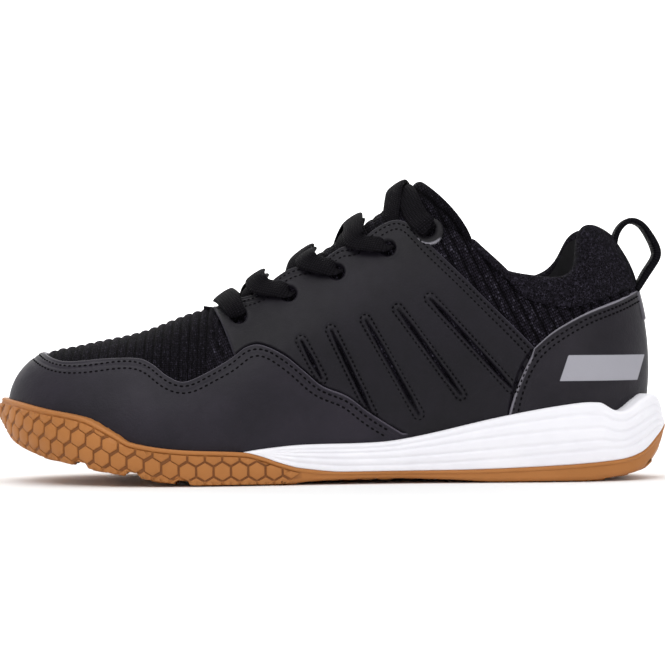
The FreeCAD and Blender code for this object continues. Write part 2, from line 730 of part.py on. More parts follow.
def collar_section(q, low, radius, depth):
    """Points round the padded roll at rib q: up the outside, over the top, down the inside."""
    crown = collar_crown(q)
    rises = [low + (crown - low) * n / 8 for n in range(9)]
    faces = [(form(q, up), form_normal(q, up)) for up in rises]
    top, normal = faces[-1]
    rise = (top - form(q, crown - 0.03)).normalize()
    outer = [p - n * (depth - radius) for p, n in faces]
    inner = [p - n * (depth + radius) for p, n in faces[::-1]]
    turns = [math.pi * n / 14 for n in range(1, 14)]
    arc = [top - normal * (depth - radius * math.cos(turn)) + rise * (radius * math.sin(turn))
           for turn in turns]
    return evenly(outer + arc + inner, 21)


def build_collar():
    """Foam roll round the ankle opening and the fabric that wraps it."""
    roll = size("collar_roll")
    cover = size("collar_cover")
    depth = size("knit_thickness") + 0.3 + cover + roll
    columns = 46
    outside, inside = [], []
    for i in range(columns):
        q = COLLAR_FROM + (RIB_COUNT - 2 * COLLAR_FROM) * i / (columns - 1)
        outside.append(collar_section(q, collar_low(q), roll + cover, depth))
        inside.append(collar_section(q, collar_low(q), roll + 0.1, depth))
    feature("collar_cover", solid_between(outside, inside))
    grid = fan_grid(COLLAR_FROM + 0.02, RIB_COUNT - COLLAR_FROM - 0.02,
                    lambda q: collar_low(q) + 0.01, collar_crown, 46, 6)
    feature("collar_foam", layer(grid, roll - 0.1 - depth, 0.1 - roll - depth))


# ---------------------------------------------------------------- tongue
TONGUE_LINE = [(50, 63), (42, 69.4), (30, 76), (12.5, 86.4), (1, 93.6), (-18, 106), (-31, 115.6),
               (-36, 119.8)]


def tongue_point(along, across, depth):
    """Point of the tongue: along 0..1 from its root, across -1..1, depth below its face."""
    curve = spline(TONGUE_LINE)
    first, last = curve.FirstParameter, curve.LastParameter
    at = first + (last - first) * along
    centre = curve.value(at)
    tangent = curve.tangent(at)[0]
    half_width = 8.5 + 6.5 * along - 0.3 * depth
    drop = 6.5 + 16.5 * along ** 1.1
    lean = math.radians(30 + 14 * along)
    down = Vector(-math.sin(lean), 0, -math.cos(lean))
    inward = Vector(tangent.y, 0, -tangent.x) * (-1 if tangent.x < 0 else 1)
    bent = down * (drop * abs(across) ** 2.2)
    return Vector(centre.x, half_width * across, centre.y) + bent + inward * depth


def tongue_layer(top, bottom, start, end, reach):
    """One layer of the tongue between two depths."""
    grids = []
    for depth in (top, bottom):
        grid = []
        for i in range(16):
            along = start + (end - start) * i / 15
            grid.append([tongue_point(along, reach * (j / 6.0 - 1), depth) for j in range(13)])
        grids.append(grid)
    return solid_between(grids[0], grids[1])


def build_tongue():
    """Padded tongue: knit facing, foam and lining."""
    skin = size("tongue_skin")
    foam = size("tongue_foam_thickness")
    gap = 0.35
    feature("tongue_facing", tongue_layer(0, skin, 0.0, 1.0, 1.0))
    feature("tongue_foam", tongue_layer(skin + gap, skin + gap + foam, 0.05, 0.985, 0.93))
    under = skin + foam + 4 * gap
    feature("tongue_lining", tongue_layer(under, under + skin, 0.0, 1.0, 0.93))


# ---------------------------------------------------------------- lace
def lace_run(row, side, over):
    """Path of one crossing: from under the eyestay at one eyelet to over the next one opposite.

    Each item is a point, the ribbon's width there and the way its broad side faces.
    """
    width = size("lace_width")
    q0, up0 = find_on_side(*EYELETS[row], -side)
    q1, up1 = find_on_side(*EYELETS[row + 1], side)
    start, end = form(q0, up0), form(q1, up1)
    n0, n1 = form_normal(q0, up0), form_normal(q1, up1)
    under = lining_face + 0.45 + size("lace_thickness") / 2
    above = overlay_face + 0.35 + size("lace_thickness") / 2
    if row == len(EYELETS) - 2:
        above += size("eyelet_ring_thickness")
    crest = crest_point((start.x + end.x) / 2, over)
    edge0 = form(q0, 1.0)
    edge1 = form(q1, 1.0)
    m0 = form_normal(q0, 0.985)
    m1 = form_normal(q1, 0.985)
    return [
        (start - n0 * under, 3.6, n0),
        (start + (edge0 - start) * 0.5 - m0 * under, width * 0.8, m0),
        (edge0 + (crest - edge0) * 0.12 - m0 * (under - 1.5), width, m0),
        (edge0 + (crest - edge0) * 0.55 + Vector(0, 0, 1.6), width, m0 + CREST_FACING),
        (crest, width, CREST_FACING),
        (edge1 + (crest - edge1) * 0.5 + m1 * (above + 0.6) + Vector(0, 0, 1), width,
         m1 + CREST_FACING),
        (edge1 + m1 * (above + 0.5), width, m1),
        (end + (edge1 - end) * 0.45 + n1 * above, width * 0.85, n1),
        (end + n1 * (above - 0.1), 3.8, n1)]


CREST_SLOPE = math.radians(34)
CREST_FACING = Vector(math.sin(CREST_SLOPE), 0, math.cos(CREST_SLOPE))


def crest_point(x, over):
    """Where a lace crosses the middle of the tongue."""
    heights = [(a, b) for a, b in TONGUE_LINE]
    z = curve_height(heights, x)
    lift = 0.8 + size("lace_thickness") / 2 + (size("lace_thickness") + 0.4 if over else 0)
    return Vector(x, 0, z) + CREST_FACING * lift


def ribbon(path):
    """Ribbon along a smooth path of (point, width, facing), its broad side facing that way."""
    spine = Part.BSplineCurve()
    spine.interpolate([point for point, _, _ in path])
    marks = [spine.parameter(point) for point, _, _ in path]
    thick = size("lace_thickness") / 2
    grids = ([], [])
    per_run = 5
    for i in range(len(path) - 1):
        steps = per_run + (1 if i == len(path) - 2 else 0)
        for k in range(steps):
            s = k / per_run
            at = marks[i] + (marks[i + 1] - marks[i]) * s
            width = path[i][1] + (path[i + 1][1] - path[i][1]) * s
            point = spine.value(at)
            tangent = spine.tangent(at)[0]
            out = (path[i][2] * (1 - s) + path[i + 1][2] * s).normalize()
            out = (out - tangent * out.dot(tangent)).normalize()
            across = tangent.cross(out).normalize()
            for grid, lift in zip(grids, (thick, -thick)):
                grid.append([point + across * (width * c / 2) + out * lift for c in (-1, 0, 1)])
    return solid_between(grids[0], grids[1])


def build_lace():
    """Flat lace: a straight bar at the first eyelets, then crossings up to the fifth."""
    runs = []
    width = size("lace_width")
    above = overlay_face + 0.25 + size("lace_thickness") / 2
    ends = [find_on_side(*EYELETS[0], side) for side in (1, -1)]
    faces = [form_normal(*end) for end in ends]
    spots = [form(*end) + facing * above for end, facing in zip(ends, faces)]
    turns = [form_normal(end[0], 0.97) for end in ends]
    edges = [form(end[0], 0.97) + turn * (above + 0.2) for end, turn in zip(ends, turns)]
    crest = crest_point(spots[0].x + 1.5, False) + CREST_FACING
    bar = [(spots[0], 3.8, faces[0]), (edges[0], width * 0.9, turns[0]),
           (crest, width, CREST_FACING), (edges[1], width * 0.9, turns[1]),
           (spots[1], 3.8, faces[1])]
    runs.append(ribbon(bar))
    for row in range(len(EYELETS) - 1):
        for side in (1, -1):
            runs.append(ribbon(lace_run(row, side, over=(side > 0) == (row % 2 == 0))))
    tips = []
    for side in (1, -1):
        q, up = find_on_side(*EYELETS[-1], side)
        normal = form_normal(q, up)
        inside = form(q, up) - normal * (lining_face + 1.2)
        lean = Vector(-0.35, 0, -1).normalize()
        tail = [(inside, 3.6, normal), (inside + lean * 12 - normal, 5, normal),
                (inside + lean * 24, 5, normal), (inside + lean * 34 + normal * 0.5, 2.2, normal)]
        runs.append(ribbon(tail))
        radius = size("aglet_diameter") / 2
        foot = inside + lean * 34.6 + normal * 0.5
        tips.append(Part.makeCylinder(radius, size("aglet_length"), foot, lean))
    feature("shoelace", Part.makeCompound(runs))
    feature("lace_aglets", Part.makeCompound(tips))


# ---------------------------------------------------------------- small hardware
def build_top_eyelets():
    """Moulded ring round the top eyelet on each side, turned about the eyelet's axis."""
    for side, label in ((1, "top_eyelet_lateral"), (-1, "top_eyelet_medial")):
        body = doc.addObject("PartDesign::Body", label)
        plane = [f for f in body.Origin.OriginFeatures if f.Role == "XZ_Plane"][0]
        axis = [f for f in body.Origin.OriginFeatures if f.Role == "Z_Axis"][0]
        sketch = body.newObject("Sketcher::SketchObject", label + "_section")
        sketch.AttachmentSupport = (plane, "")
        sketch.MapMode = "FlatFace"
        inner = size("eyelet_hole") / 2 + 0.1
        outer = size("eyelet_ring_outer") / 2
        rise = size("eyelet_ring_thickness")
        corners = [(inner, 0), (outer, 0), (outer, rise * 0.45), (outer - 0.5, rise),
                   (inner + 0.4, rise), (inner, rise * 0.6)]
        for n, (x, y) in enumerate(corners):
            x1, y1 = corners[(n + 1) % len(corners)]
            sketch.addGeometry(Part.LineSegment(Vector(x, y, 0), Vector(x1, y1, 0)), False)
        ring = body.newObject("PartDesign::Revolution", label + "_ring")
        ring.Profile = sketch
        ring.ReferenceAxis = (axis, [""])
        ring.Angle = 360
        q, up = find_on_side(*EYELETS[-1], side)
        normal = form_normal(q, up)
        place = form(q, up) + normal * (overlay_face + 0.15)
        body.Placement = FreeCAD.Placement(place, FreeCAD.Rotation(Vector(0, 0, 1), normal))
        keep(body, label)


LOOP_LINE = [(-115.0, 95.6), (-116.2, 100.2), (-120.6, 103.4), (-124.4, 102.2), (-127.6, 98.4),
             (-130.2, 93.6), (-131.0, 89.6), (-129.6, 86.4), (-126.8, 82.2), (-124.7, 79.4)]


def build_pull_loop():
    """Webbing loop behind the heel: its side outline padded across the shoe."""
    body = doc.addObject("PartDesign::Body", "pull_loop")
    plane = [f for f in body.Origin.OriginFeatures if f.Role == "XZ_Plane"][0]
    sketch = body.newObject("Sketcher::SketchObject", "loop_outline")
    sketch.AttachmentSupport = (plane, "")
    sketch.MapMode = "FlatFace"
    middle = spline(LOOP_LINE)
    half = size("loop_webbing") / 2
    rails = []
    for side in (1, -1):
        rail = []
        for n in range(25):
            at = middle.FirstParameter + (middle.LastParameter - middle.FirstParameter) * n / 24
            tangent = middle.tangent(at)[0]
            point = middle.value(at) + Vector(-tangent.y, tangent.x, 0) * (half * side)
            rail.append((point.x, point.y))
        rails.append(spline(rail))
    for rail in rails:
        sketch.addGeometry(rail, False)
    sketch.addGeometry(Part.LineSegment(rails[0].StartPoint, rails[1].StartPoint), False)
    sketch.addGeometry(Part.LineSegment(rails[0].EndPoint, rails[1].EndPoint), False)
    pad = body.newObject("PartDesign::Pad", "loop_webbing_pad")
    pad.Profile = sketch
    pad.Midplane = True
    pad.setExpression("Length", "dimensions.loop_width")
    keep(body, "pull_loop")


build_sole()
build_footbed()
build_knit()
build_overlays()
build_inner_layers()
build_collar()
build_tongue()
build_lace()
build_top_eyelets()
build_pull_loop()
doc.recompute()

for thing in doc.Objects:
    if "Invalid" in thing.State or "Error" in thing.State:
        raise RuntimeError(thing.Label + " failed to compute: " + str(thing.State))
os.makedirs("parts", exist_ok=True)
for thing in nodes:
    shape = thing.Shape
    if shape.isNull() or not shape.isValid() or shape.Volume <= 0:
        raise RuntimeError(thing.Label + " has no valid solid")
    print("%-32s %2d solid(s) %10.1f mm3" % (thing.Label, len(shape.Solids), shape.Volume))
for thing in nodes:
    thing.Shape.exportStep("parts/" + thing.Label + ".step")
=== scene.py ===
import math

import bpy
import numpy as np
from mathutils import Euler, Matrix, Vector


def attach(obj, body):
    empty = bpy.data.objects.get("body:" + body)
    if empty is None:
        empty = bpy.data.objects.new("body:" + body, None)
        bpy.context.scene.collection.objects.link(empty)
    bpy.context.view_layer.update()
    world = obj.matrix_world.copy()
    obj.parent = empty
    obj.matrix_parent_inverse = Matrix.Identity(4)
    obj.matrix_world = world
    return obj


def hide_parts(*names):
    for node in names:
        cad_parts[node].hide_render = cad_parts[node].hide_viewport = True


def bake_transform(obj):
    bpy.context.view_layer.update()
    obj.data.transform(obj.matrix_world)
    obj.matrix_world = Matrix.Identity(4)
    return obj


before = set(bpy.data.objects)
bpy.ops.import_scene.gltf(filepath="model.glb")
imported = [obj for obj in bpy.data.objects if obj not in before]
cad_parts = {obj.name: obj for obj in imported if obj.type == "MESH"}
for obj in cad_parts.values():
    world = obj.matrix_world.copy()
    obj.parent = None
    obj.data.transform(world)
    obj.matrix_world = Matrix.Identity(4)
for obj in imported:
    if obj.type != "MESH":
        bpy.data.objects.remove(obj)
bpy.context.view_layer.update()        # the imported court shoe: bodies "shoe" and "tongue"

# The looks of a left court shoe. Shapes are worked out in millimetres in the frame of the packed
# part (+X to the toe, +Y to the outer side, +Z up) and put into meshes in metres.
MM = 0.001
SIDES = ((1, "lateral"), (-1, "medial"))


# ------------------------------------------------------------------ curves
def spline(points, closed=False, even=False):
    """Cubic spline through points, its knots a chord length apart, or 1 apart if even.

    The second derivatives M make the slope continuous:
    h0*M0 + 2*(h0 + h1)*M1 + h1*M2 = 6*(slope after - slope before).  Returns knots and value(t).
    """
    P = np.asarray(points, float)
    n = len(P)
    Q = np.vstack([P, P[:1]]) if closed else P
    h = np.ones(len(Q) - 1) if even else np.linalg.norm(np.diff(Q, axis=0), axis=1)
    knots = np.concatenate([[0.0], np.cumsum(h)])
    slope = np.diff(Q, axis=0) / h[:, None]
    A, R = np.eye(n), np.zeros_like(P)
    for i in (range(n) if closed else range(1, n - 1)):
        A[i] = 0
        A[i, i - 1] += h[i - 1]
        A[i, i] += 2 * (h[i - 1] + h[i])
        A[i, (i + 1) % n] += h[i]
        R[i] = 6 * (slope[i] - slope[i - 1])
    M = np.linalg.solve(A, R)
    M = np.vstack([M, M[:1]]) if closed else M

    def value(t):
        t = np.asarray(t, float)
        t = np.mod(t, knots[-1]) if closed else t
        i = np.clip(np.searchsorted(knots, t, side="right") - 1, 0, len(h) - 1)
        s = ((t - knots[i]) / h[i])[..., None]
        a = 1 - s
        w = (h[i] ** 2 / 6)[..., None]
        return Q[i] * a + Q[i + 1] * s + w * ((a ** 3 - a) * M[i] + (s ** 3 - s) * M[i + 1])
    return knots, value


def height_curve(points, flat=False):
    """Height z as a function of x through points (x, z) from toe to heel, by Hermite pieces.

    Slopes are those of the neighbours' chord; flat ones are limited so that nothing overshoots.
    """
    xs, zs = np.array(points[::-1], float).T
    chord = np.diff(zs) / np.diff(xs)
    slope = np.concatenate([chord[:1], (zs[2:] - zs[:-2]) / (xs[2:] - xs[:-2]), chord[-1:]])
    if flat:
        both = chord[1:] * chord[:-1]
        slope[1:-1] = np.where(both > 0, 2 * both / (chord[1:] + chord[:-1] + 1e-12), 0)

    def value(x):
        x = np.clip(x, xs[0], xs[-1])
        i = np.clip(np.searchsorted(xs, x, side="right") - 1, 0, len(xs) - 2)
        w = xs[i + 1] - xs[i]
        s = (x - xs[i]) / w
        return ((2 * s ** 3 - 3 * s ** 2 + 1) * zs[i] + (s ** 3 - 2 * s ** 2 + s) * w * slope[i]
                + (3 * s ** 2 - 2 * s ** 3) * zs[i + 1] + (s ** 3 - s ** 2) * w * slope[i + 1])
    return value


def unit(v):
    """Vectors made 1 long."""
    return v / (np.linalg.norm(v, axis=-1, keepdims=True) + 1e-12)


def ease(t):
    """Smooth step from 0 to 1: 3t^2 - 2t^3, with t held between 0 and 1."""
    t = np.clip(t, 0, 1)
    return t * t * (3 - 2 * t)


def ridge(t, sharp=2.5):
    """Rounded ridges one unit apart: 1 on the crest, 0 in the valley between."""
    return 1 - np.abs(2 * (t - np.floor(t)) - 1) ** sharp


def bell(distance, at, width):
    """Bell curve exp(-((distance - at) / width)^2): 1 at the distance at, fading over the width."""
    return np.exp(-((distance - at) / width) ** 2)


def reach_along(P):
    """Distance along a line of points, from 0 at its first."""
    return np.concatenate([[0], np.cumsum(np.linalg.norm(np.diff(P, axis=0), axis=1))])


def at_reach(marks, reach, P):
    """Points or vectors of a line at given distances along it, straight between its own points."""
    return np.stack([np.interp(marks, reach, P[:, n]) for n in range(P.shape[1])], -1)


# ------------------------------------------------------------------ form of the upper
# One rib per row, toe centre to heel centre:
# sole point x, y, z | top point x, y, z | bulge, lower handle, upper handle, crown angle
LATERAL = [
    (130, -5, 25,       107, -4, 53.6,     1.5, 17, 14, 8),
    (124.5, 10, 24,     105.5, -4, 53.8,   2.5, 18, 15, 7),
    (113, 25, 19.5,     100.5, -3.8, 54.8, 2.5, 20, 19, 5),
    (97, 36, 15,        91, -3, 56.8,      2, 22, 23, 4),
    (76, 43, 11,        74, -1.5, 60.8,    2, 25, 26, 4),
    (55, 44, 9.5,       54, 0, 68,         1.5, 28, 25, 12),
    (37, 41.5, 9.8,     38, 11, 70.8,      1.5, 30, 24, 36),
    (20, 38, 10.5,      21.5, 15, 79.8,    2, 34, 22, 48),
    (2, 34.5, 11.3,     4, 16.5, 87.6,     2.5, 37, 24, 54),
    (-15, 32.5, 12.5,   -13.5, 17.5, 95,   3.5, 40, 24, 60),
    (-34, 31, 14.5,     -33, 19, 101.2,    4.5, 40, 24, 66),
    (-50, 30.5, 16.5,   -50, 22, 98.6,     5, 38, 24, 72),
    (-67, 30.3, 18.6,   -64.5, 25.5, 86.6, 5, 32, 22, 80),
    (-84, 29.7, 20.4,   -80, 27.5, 82.1,   5, 26, 20, 84),
    (-100, 26.5, 21.8,  -95.5, 24.5, 84.2, 5, 26, 22, 84),
    (-113, 18.5, 22.4,  -101, 20, 100.4,   5, 28, 26, 74),
    (-121, 8.5, 22.5,   -108, 11, 102,     5.5, 28, 28, 66),
    (-123.5, 0, 22.5,   -111.5, 0, 100.3,  5.5, 28, 28, 62),
]
# The inner side has the same ribs between toe and heel, with their own sole y | top point x, y, z
MEDIAL = [(-19, 105.5, -4, 53.8), (-31, 100.5, -3.8, 54.8), (-39.5, 91, -3, 56.8),
          (-43.5, 74, -1.5, 60.8), (-42, 54, 0, 68), (-38.5, 38, -11.5, 70.8),
          (-34.5, 21.5, -16, 79.8), (-31, 4, -17, 87.6), (-29, -13.5, -18, 95),
          (-28, -33, -19.5, 101.2), (-28.5, -50, -22, 98.6), (-29, -64.5, -25, 86.6),
          (-29, -79, -27, 82.4), (-26, -91.5, -25, 87.5), (-18, -99.5, -20.5, 99.4),
          (-8.5, -108, -11, 102)]
outer_ribs = np.array(LATERAL, float)
inner_ribs = outer_ribs[1:-1].copy()
inner_ribs[:, [1, 3, 4, 5]] = MEDIAL
RIBS = np.vstack([outer_ribs, inner_ribs[::-1]])
RIB_COUNT = len(RIBS)
HEEL = len(LATERAL) - 1
THROAT = 5               # rib at the front of the lacing
SOLE_EDGE = 0.015        # layers start this far up a rib


def handle_lines():
    """Smooth closed lines through the ribs' four Bezier points: foot; foot + outward * bulge + rise;
    top + (crown direction - drop) * length; top."""
    foot, top = RIBS[:, 0:3], RIBS[:, 3:6]
    bulge, low, high = RIBS[:, 6:7], RIBS[:, 7:8], RIBS[:, 8:9]
    crown = np.radians(RIBS[:, 9:10])
    flat = np.array([1.0, 1.0, 0.0])
    along = unit((np.roll(foot, -1, 0) - np.roll(foot, 1, 0)) * flat)
    outward = np.stack([-along[:, 1], along[:, 0], 0 * along[:, 0]], 1)
    outward *= np.where((outward * foot * flat).sum(1, keepdims=True) < 0, -1, 1)
    facing = unit((foot - top) * flat)
    outward[0] = facing[0] = (1, 0, 0)
    up = np.array([0.0, 0.0, 1.0])
    lower = foot + outward * bulge + up * low
    upper = top + (facing * np.cos(crown) - up * np.sin(crown)) * high
    return [spline(line, closed=True, even=True)[1] for line in (foot, lower, upper, top)]


HANDLES = handle_lines()


def form(q, up):
    """Point of the form: cubic Bezier along rib q, up from 0 at the sole line to 1 at the top."""
    q, up = np.broadcast_arrays(np.asarray(q, float), np.asarray(up, float))
    side = np.mod(q, RIB_COUNT)
    side = np.minimum(side, RIB_COUNT - side)[..., None]
    crest = HANDLES[3](q)
    crest = np.where(side <= THROAT, 0.5 * (crest + HANDLES[3](-q)), crest)
    t = up[..., None]
    d = 1 - t
    return (HANDLES[0](q) * d ** 3 + HANDLES[1](q) * (3 * d * d * t)
            + HANDLES[2](q) * (3 * d * t * t) + crest * t ** 3)


def form_normal(q, up, step=0.002):
    """Outward normal: change along the shoe crossed with change up the rib."""
    across = form(q + step, up) - form(q - step, up)
    rise = form(q, up + step) - form(q, up - step)
    return unit(np.cross(across, rise))


def moved(q, up, offset):
    """The form moved out along its normal by offset millimetres."""
    offset = np.asarray(offset, float)
    return form(q, up) + form_normal(q, up) * offset[..., None]


def rise_at(q, edge, above=0.0, last=1.0):
    """How far up each rib q the form first reaches an edge of heights z(x)."""
    q = np.asarray(q, float)
    if q.ndim > 1:
        table = np.linspace(q.min(), q.max(), 900)
        return np.interp(q, table, rise_at(table, edge, above, last))
    ups = np.linspace(0, last, 260)
    P = form(q[..., None], ups)
    gap = P[..., 2] - edge(P[..., 0]) - above
    n = np.argmax(gap >= 0, axis=-1)
    n = np.where((gap >= 0).any(-1), n, len(ups) - 1)
    n0 = np.maximum(n - 1, 0)
    g0 = np.take_along_axis(gap, n0[..., None], -1)[..., 0]
    g1 = np.take_along_axis(gap, n[..., None], -1)[..., 0]
    share = np.clip(-g0 / (g1 - g0 + 1e-9), 0, 1)
    return ups[n0] + (ups[n] - ups[n0]) * share


def find_on_side(x, z, side=1):
    """Rib number and rise of the form's points seen at x, z from one side, by Newton steps."""
    x, z = np.asarray(x, float), np.asarray(z, float)
    order = np.arange(HEEL + 1)
    q = np.interp(-x, -outer_ribs[:, 0], order)
    up = np.full(q.shape, 0.7)
    for _ in range(40):
        here = form(side * q, up)
        dq = (form(side * (q + 0.01), up) - here) * 100
        du = (form(side * q, up + 0.01) - here) * 100
        ex, ez = x - here[..., 0], z - here[..., 2]
        det = dq[..., 0] * du[..., 2] - du[..., 0] * dq[..., 2]
        q = q + np.clip((ex * du[..., 2] - ez * du[..., 0]) / det, -0.5, 0.5)
        up = np.clip(up + np.clip((ez * dq[..., 0] - ex * dq[..., 2]) / det, -0.15, 0.15), 0, 1.1)
    return side * q, up


# Edges and openings seen from the side (x, z), toe to heel
GUARD_TOP = [(117.5, 52), (111, 48.8), (104.5, 47.6), (88, 48.8), (75, 48.7), (69.5, 46.2),
             (64.5, 42.4), (58, 40), (49.4, 43.2), (39.4, 48.9), (33.5, 53.2), (27.9, 54.2),
             (18.6, 50.1), (10.9, 44), (4.3, 38.5), (-5.8, 34.2), (-14, 28.1), (-21.8, 23),
             (-30, 18)]
QUARTER_TOP = [(46, 69), (36.9, 72.3), (31, 73.8), (27.2, 75.6), (22.4, 80.2), (16.9, 83.8),
               (10.2, 85.6), (5, 86.4), (2, 88.5), (-4.4, 92.6), (-8, 92.9), (-10.5, 94),
               (-15.4, 98.3), (-20.3, 101.6), (-25.7, 103.4), (-30.6, 102.1), (-34.4, 98.6),
               (-38.4, 94.1), (-49.9, 82.5), (-61.5, 70.7), (-74.2, 58), (-80, 51.8), (-86, 45)]
COUNTER_TOP = [(-67.7, 26), (-69.4, 33.7), (-72.7, 43), (-77.8, 51.3), (-85.5, 58), (-93.1, 62.7),
               (-101.6, 66.9), (-113.2, 71.4), (-124, 76.6)]
COLLAR_SEAM = [(-54, 94), (-60, 88), (-69.6, 78.7), (-73.7, 74.4), (-78.8, 70.9), (-85.8, 69.3),
               (-94.1, 68.4), (-102, 70), (-112.2, 73.4), (-122, 77)]
EYELETS = np.array([(36.4, 65.1), (16.6, 74), (-2.4, 82.6), (-22.5, 91.9), (-38.7, 98.6)])
SLITS = [((11.9, 55.4), (4.3, 41)), ((0.2, 59.6), (-15.1, 27.3)), ((-13.3, 63.6), (-33.6, 27.1)),
         ((-26, 67.8), (-50.2, 34.6)), ((-38.6, 71.9), (-70.1, 37.1))]
guard_edge = height_curve(GUARD_TOP)
quarter_edge = height_curve(QUARTER_TOP)
counter_edge = height_curve(COUNTER_TOP[3:])
collar_edge = height_curve(COLLAR_SEAM)

# Layers, as millimetres out from the form or in from it
KNIT = 1.2
SKIN_NEAR, SKIN_FAR = 0.15, 1.35
LINING = 2.8
LINING_THICK = 0.8


def smooth_path(points, step=0.8):
    """Dense line of points through a few, by a cubic spline."""
    knots, value = spline(points)
    return value(np.linspace(0, knots[-1], max(8, int(knots[-1] / step))))


def parallel(path, distance):
    """A side-view line moved sideways: to the right of its direction for a positive distance."""
    along = unit(np.gradient(path, axis=0))
    return path + np.stack([along[:, 1], -along[:, 0]], 1) * distance


def distance_to(X, Z, path):
    """Shortest side-view distance from every X, Z to a line of points."""
    best = np.full(X.shape, 1e9)
    for (x0, z0), (x1, z1) in zip(path[:-1], path[1:]):
        dx, dz = x1 - x0, z1 - z0
        t = np.clip(((X - x0) * dx + (Z - z0) * dz) / (dx * dx + dz * dz + 1e-9), 0, 1)
        best = np.minimum(best, np.hypot(X - x0 - t * dx, Z - z0 - t * dz))
    return best


# ------------------------------------------------------------------ meshes
def quads(a, b, c, d):
    """Four-cornered faces from four arrays of corner numbers."""
    return np.stack([a, b, c, d], -1).reshape(-1, 4)


def grid_faces(index):
    """Faces of a grid of corner numbers; their normal is rows crossed with columns."""
    return quads(index[:-1, :-1], index[1:, :-1], index[1:, 1:], index[:-1, 1:])


def between(outer, inner):
    """Closed shell between two grids: the outer face, the inner face turned round, and rims."""
    rows, columns = outer.shape[:2]
    a = np.arange(rows * columns).reshape(rows, columns)
    b = a + rows * columns
    faces = [grid_faces(a), grid_faces(b)[:, ::-1],
             quads(a[1:, 0], a[:-1, 0], b[:-1, 0], b[1:, 0]),
             quads(a[:-1, -1], a[1:, -1], b[1:, -1], b[:-1, -1]),
             quads(a[0, :-1], a[0, 1:], b[0, 1:], b[0, :-1]),
             quads(a[-1, 1:], a[-1, :-1], b[-1, :-1], b[-1, 1:])]
    return np.concatenate([outer.reshape(-1, 3), inner.reshape(-1, 3)]), np.concatenate(faces)


def tube(sections, closed=False):
    """Skin over sections of points: each section joins up with itself, and with its neighbours."""
    rows, columns = sections.shape[:2]
    index = np.arange(rows * columns).reshape(rows, columns)
    index = np.hstack([index, index[:, :1]])
    index = np.vstack([index, index[:1]]) if closed else index
    return sections.reshape(-1, 3), grid_faces(index)


def joined(parts):
    """Several (points, faces) as one."""
    start = np.cumsum([0] + [len(points) for points, _ in parts[:-1]])
    return (np.concatenate([points for points, _ in parts]),
            np.concatenate([faces + n for (_, faces), n in zip(parts, start)]))


def put(name, points, faces, material, body="shoe", weld=0.0, **channels):
    """Mesh piece from points in millimetres and faces of four corners; equal corners are merged.

    channels are numbers or vectors per point, kept as attributes for the material.
    """
    points = np.asarray(points, float)
    if weld:
        _, first, index = np.unique(np.round(points / weld).astype(np.int64), axis=0,
                                    return_index=True, return_inverse=True)
        points, faces = points[first], index.reshape(-1)[faces]
        channels = {key: value[first] for key, value in channels.items()}
    keep = faces != np.roll(faces, -1, 1)
    keep &= ~((faces == np.roll(faces, -2, 1)) & (np.arange(4) > 1))
    total = keep.sum(1)
    faces, keep, total = faces[total > 2], keep[total > 2], total[total > 2]
    mesh = bpy.data.meshes.new(name)
    mesh.vertices.add(len(points))
    mesh.vertices.foreach_set("co", (points * MM).astype(np.float32).ravel())
    corners = faces[keep]
    mesh.loops.add(len(corners))
    mesh.loops.foreach_set("vertex_index", corners.astype(np.int32))
    mesh.polygons.add(len(faces))
    starts = np.concatenate([[0], np.cumsum(total)[:-1]])
    mesh.polygons.foreach_set("loop_start", starts.astype(np.int32))
    mesh.update(calc_edges=True)
    mesh.polygons.foreach_set("use_smooth", np.ones(len(faces), bool))
    for key, value in channels.items():
        vector = value.ndim == 2
        kept = mesh.attributes.new(key, "FLOAT_VECTOR" if vector else "FLOAT", "POINT")
        kept.data.foreach_set("vector" if vector else "value", value.astype(np.float32).ravel())
    mesh.validate()
    mesh.materials.append(material)
    piece = bpy.data.objects.new(name, mesh)
    bpy.context.scene.collection.objects.link(piece)
    if body:
        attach(piece, body)
    return piece


# ------------------------------------------------------------------ materials
def colour(code):
    """Linear colour from an sRGB hex value."""
    s = np.array([int(code[n:n + 2], 16) / 255 for n in (1, 3, 5)])
    lin = np.where(s <= 0.04045, s / 12.92, ((s + 0.055) / 1.055) ** 2.4)
    return (*lin.tolist(), 1.0)


def add(tree, kind, inputs=None, out=0, **settings):
    """Adds one node and gives back its output out: settings are its properties, inputs its sockets'
    values or the links to them."""
    node = tree.nodes.new("ShaderNode" + kind)
    for key, value in settings.items():
        setattr(node, key, value)
    for key, value in (inputs or {}).items():
        if isinstance(value, bpy.types.NodeSocket):
            tree.links.new(value, node.inputs[key])
        else:
            node.inputs[key].default_value = value
    return node.outputs[out] if len(node.outputs) else None


def new_material(name, **shader):
    """Material with one Principled shader, whose plain sockets are given by name."""
    material = bpy.data.materials.new(name)
    material.use_nodes = True
    tree = material.node_tree
    tree.nodes.clear()
    shine = add(tree, "BsdfPrincipled", {key.replace("_", " "): v for key, v in shader.items()})
    add(tree, "OutputMaterial", {"Surface": shine})
    return material, tree, shine.node.inputs, add(tree, "TexCoord", out="Object")


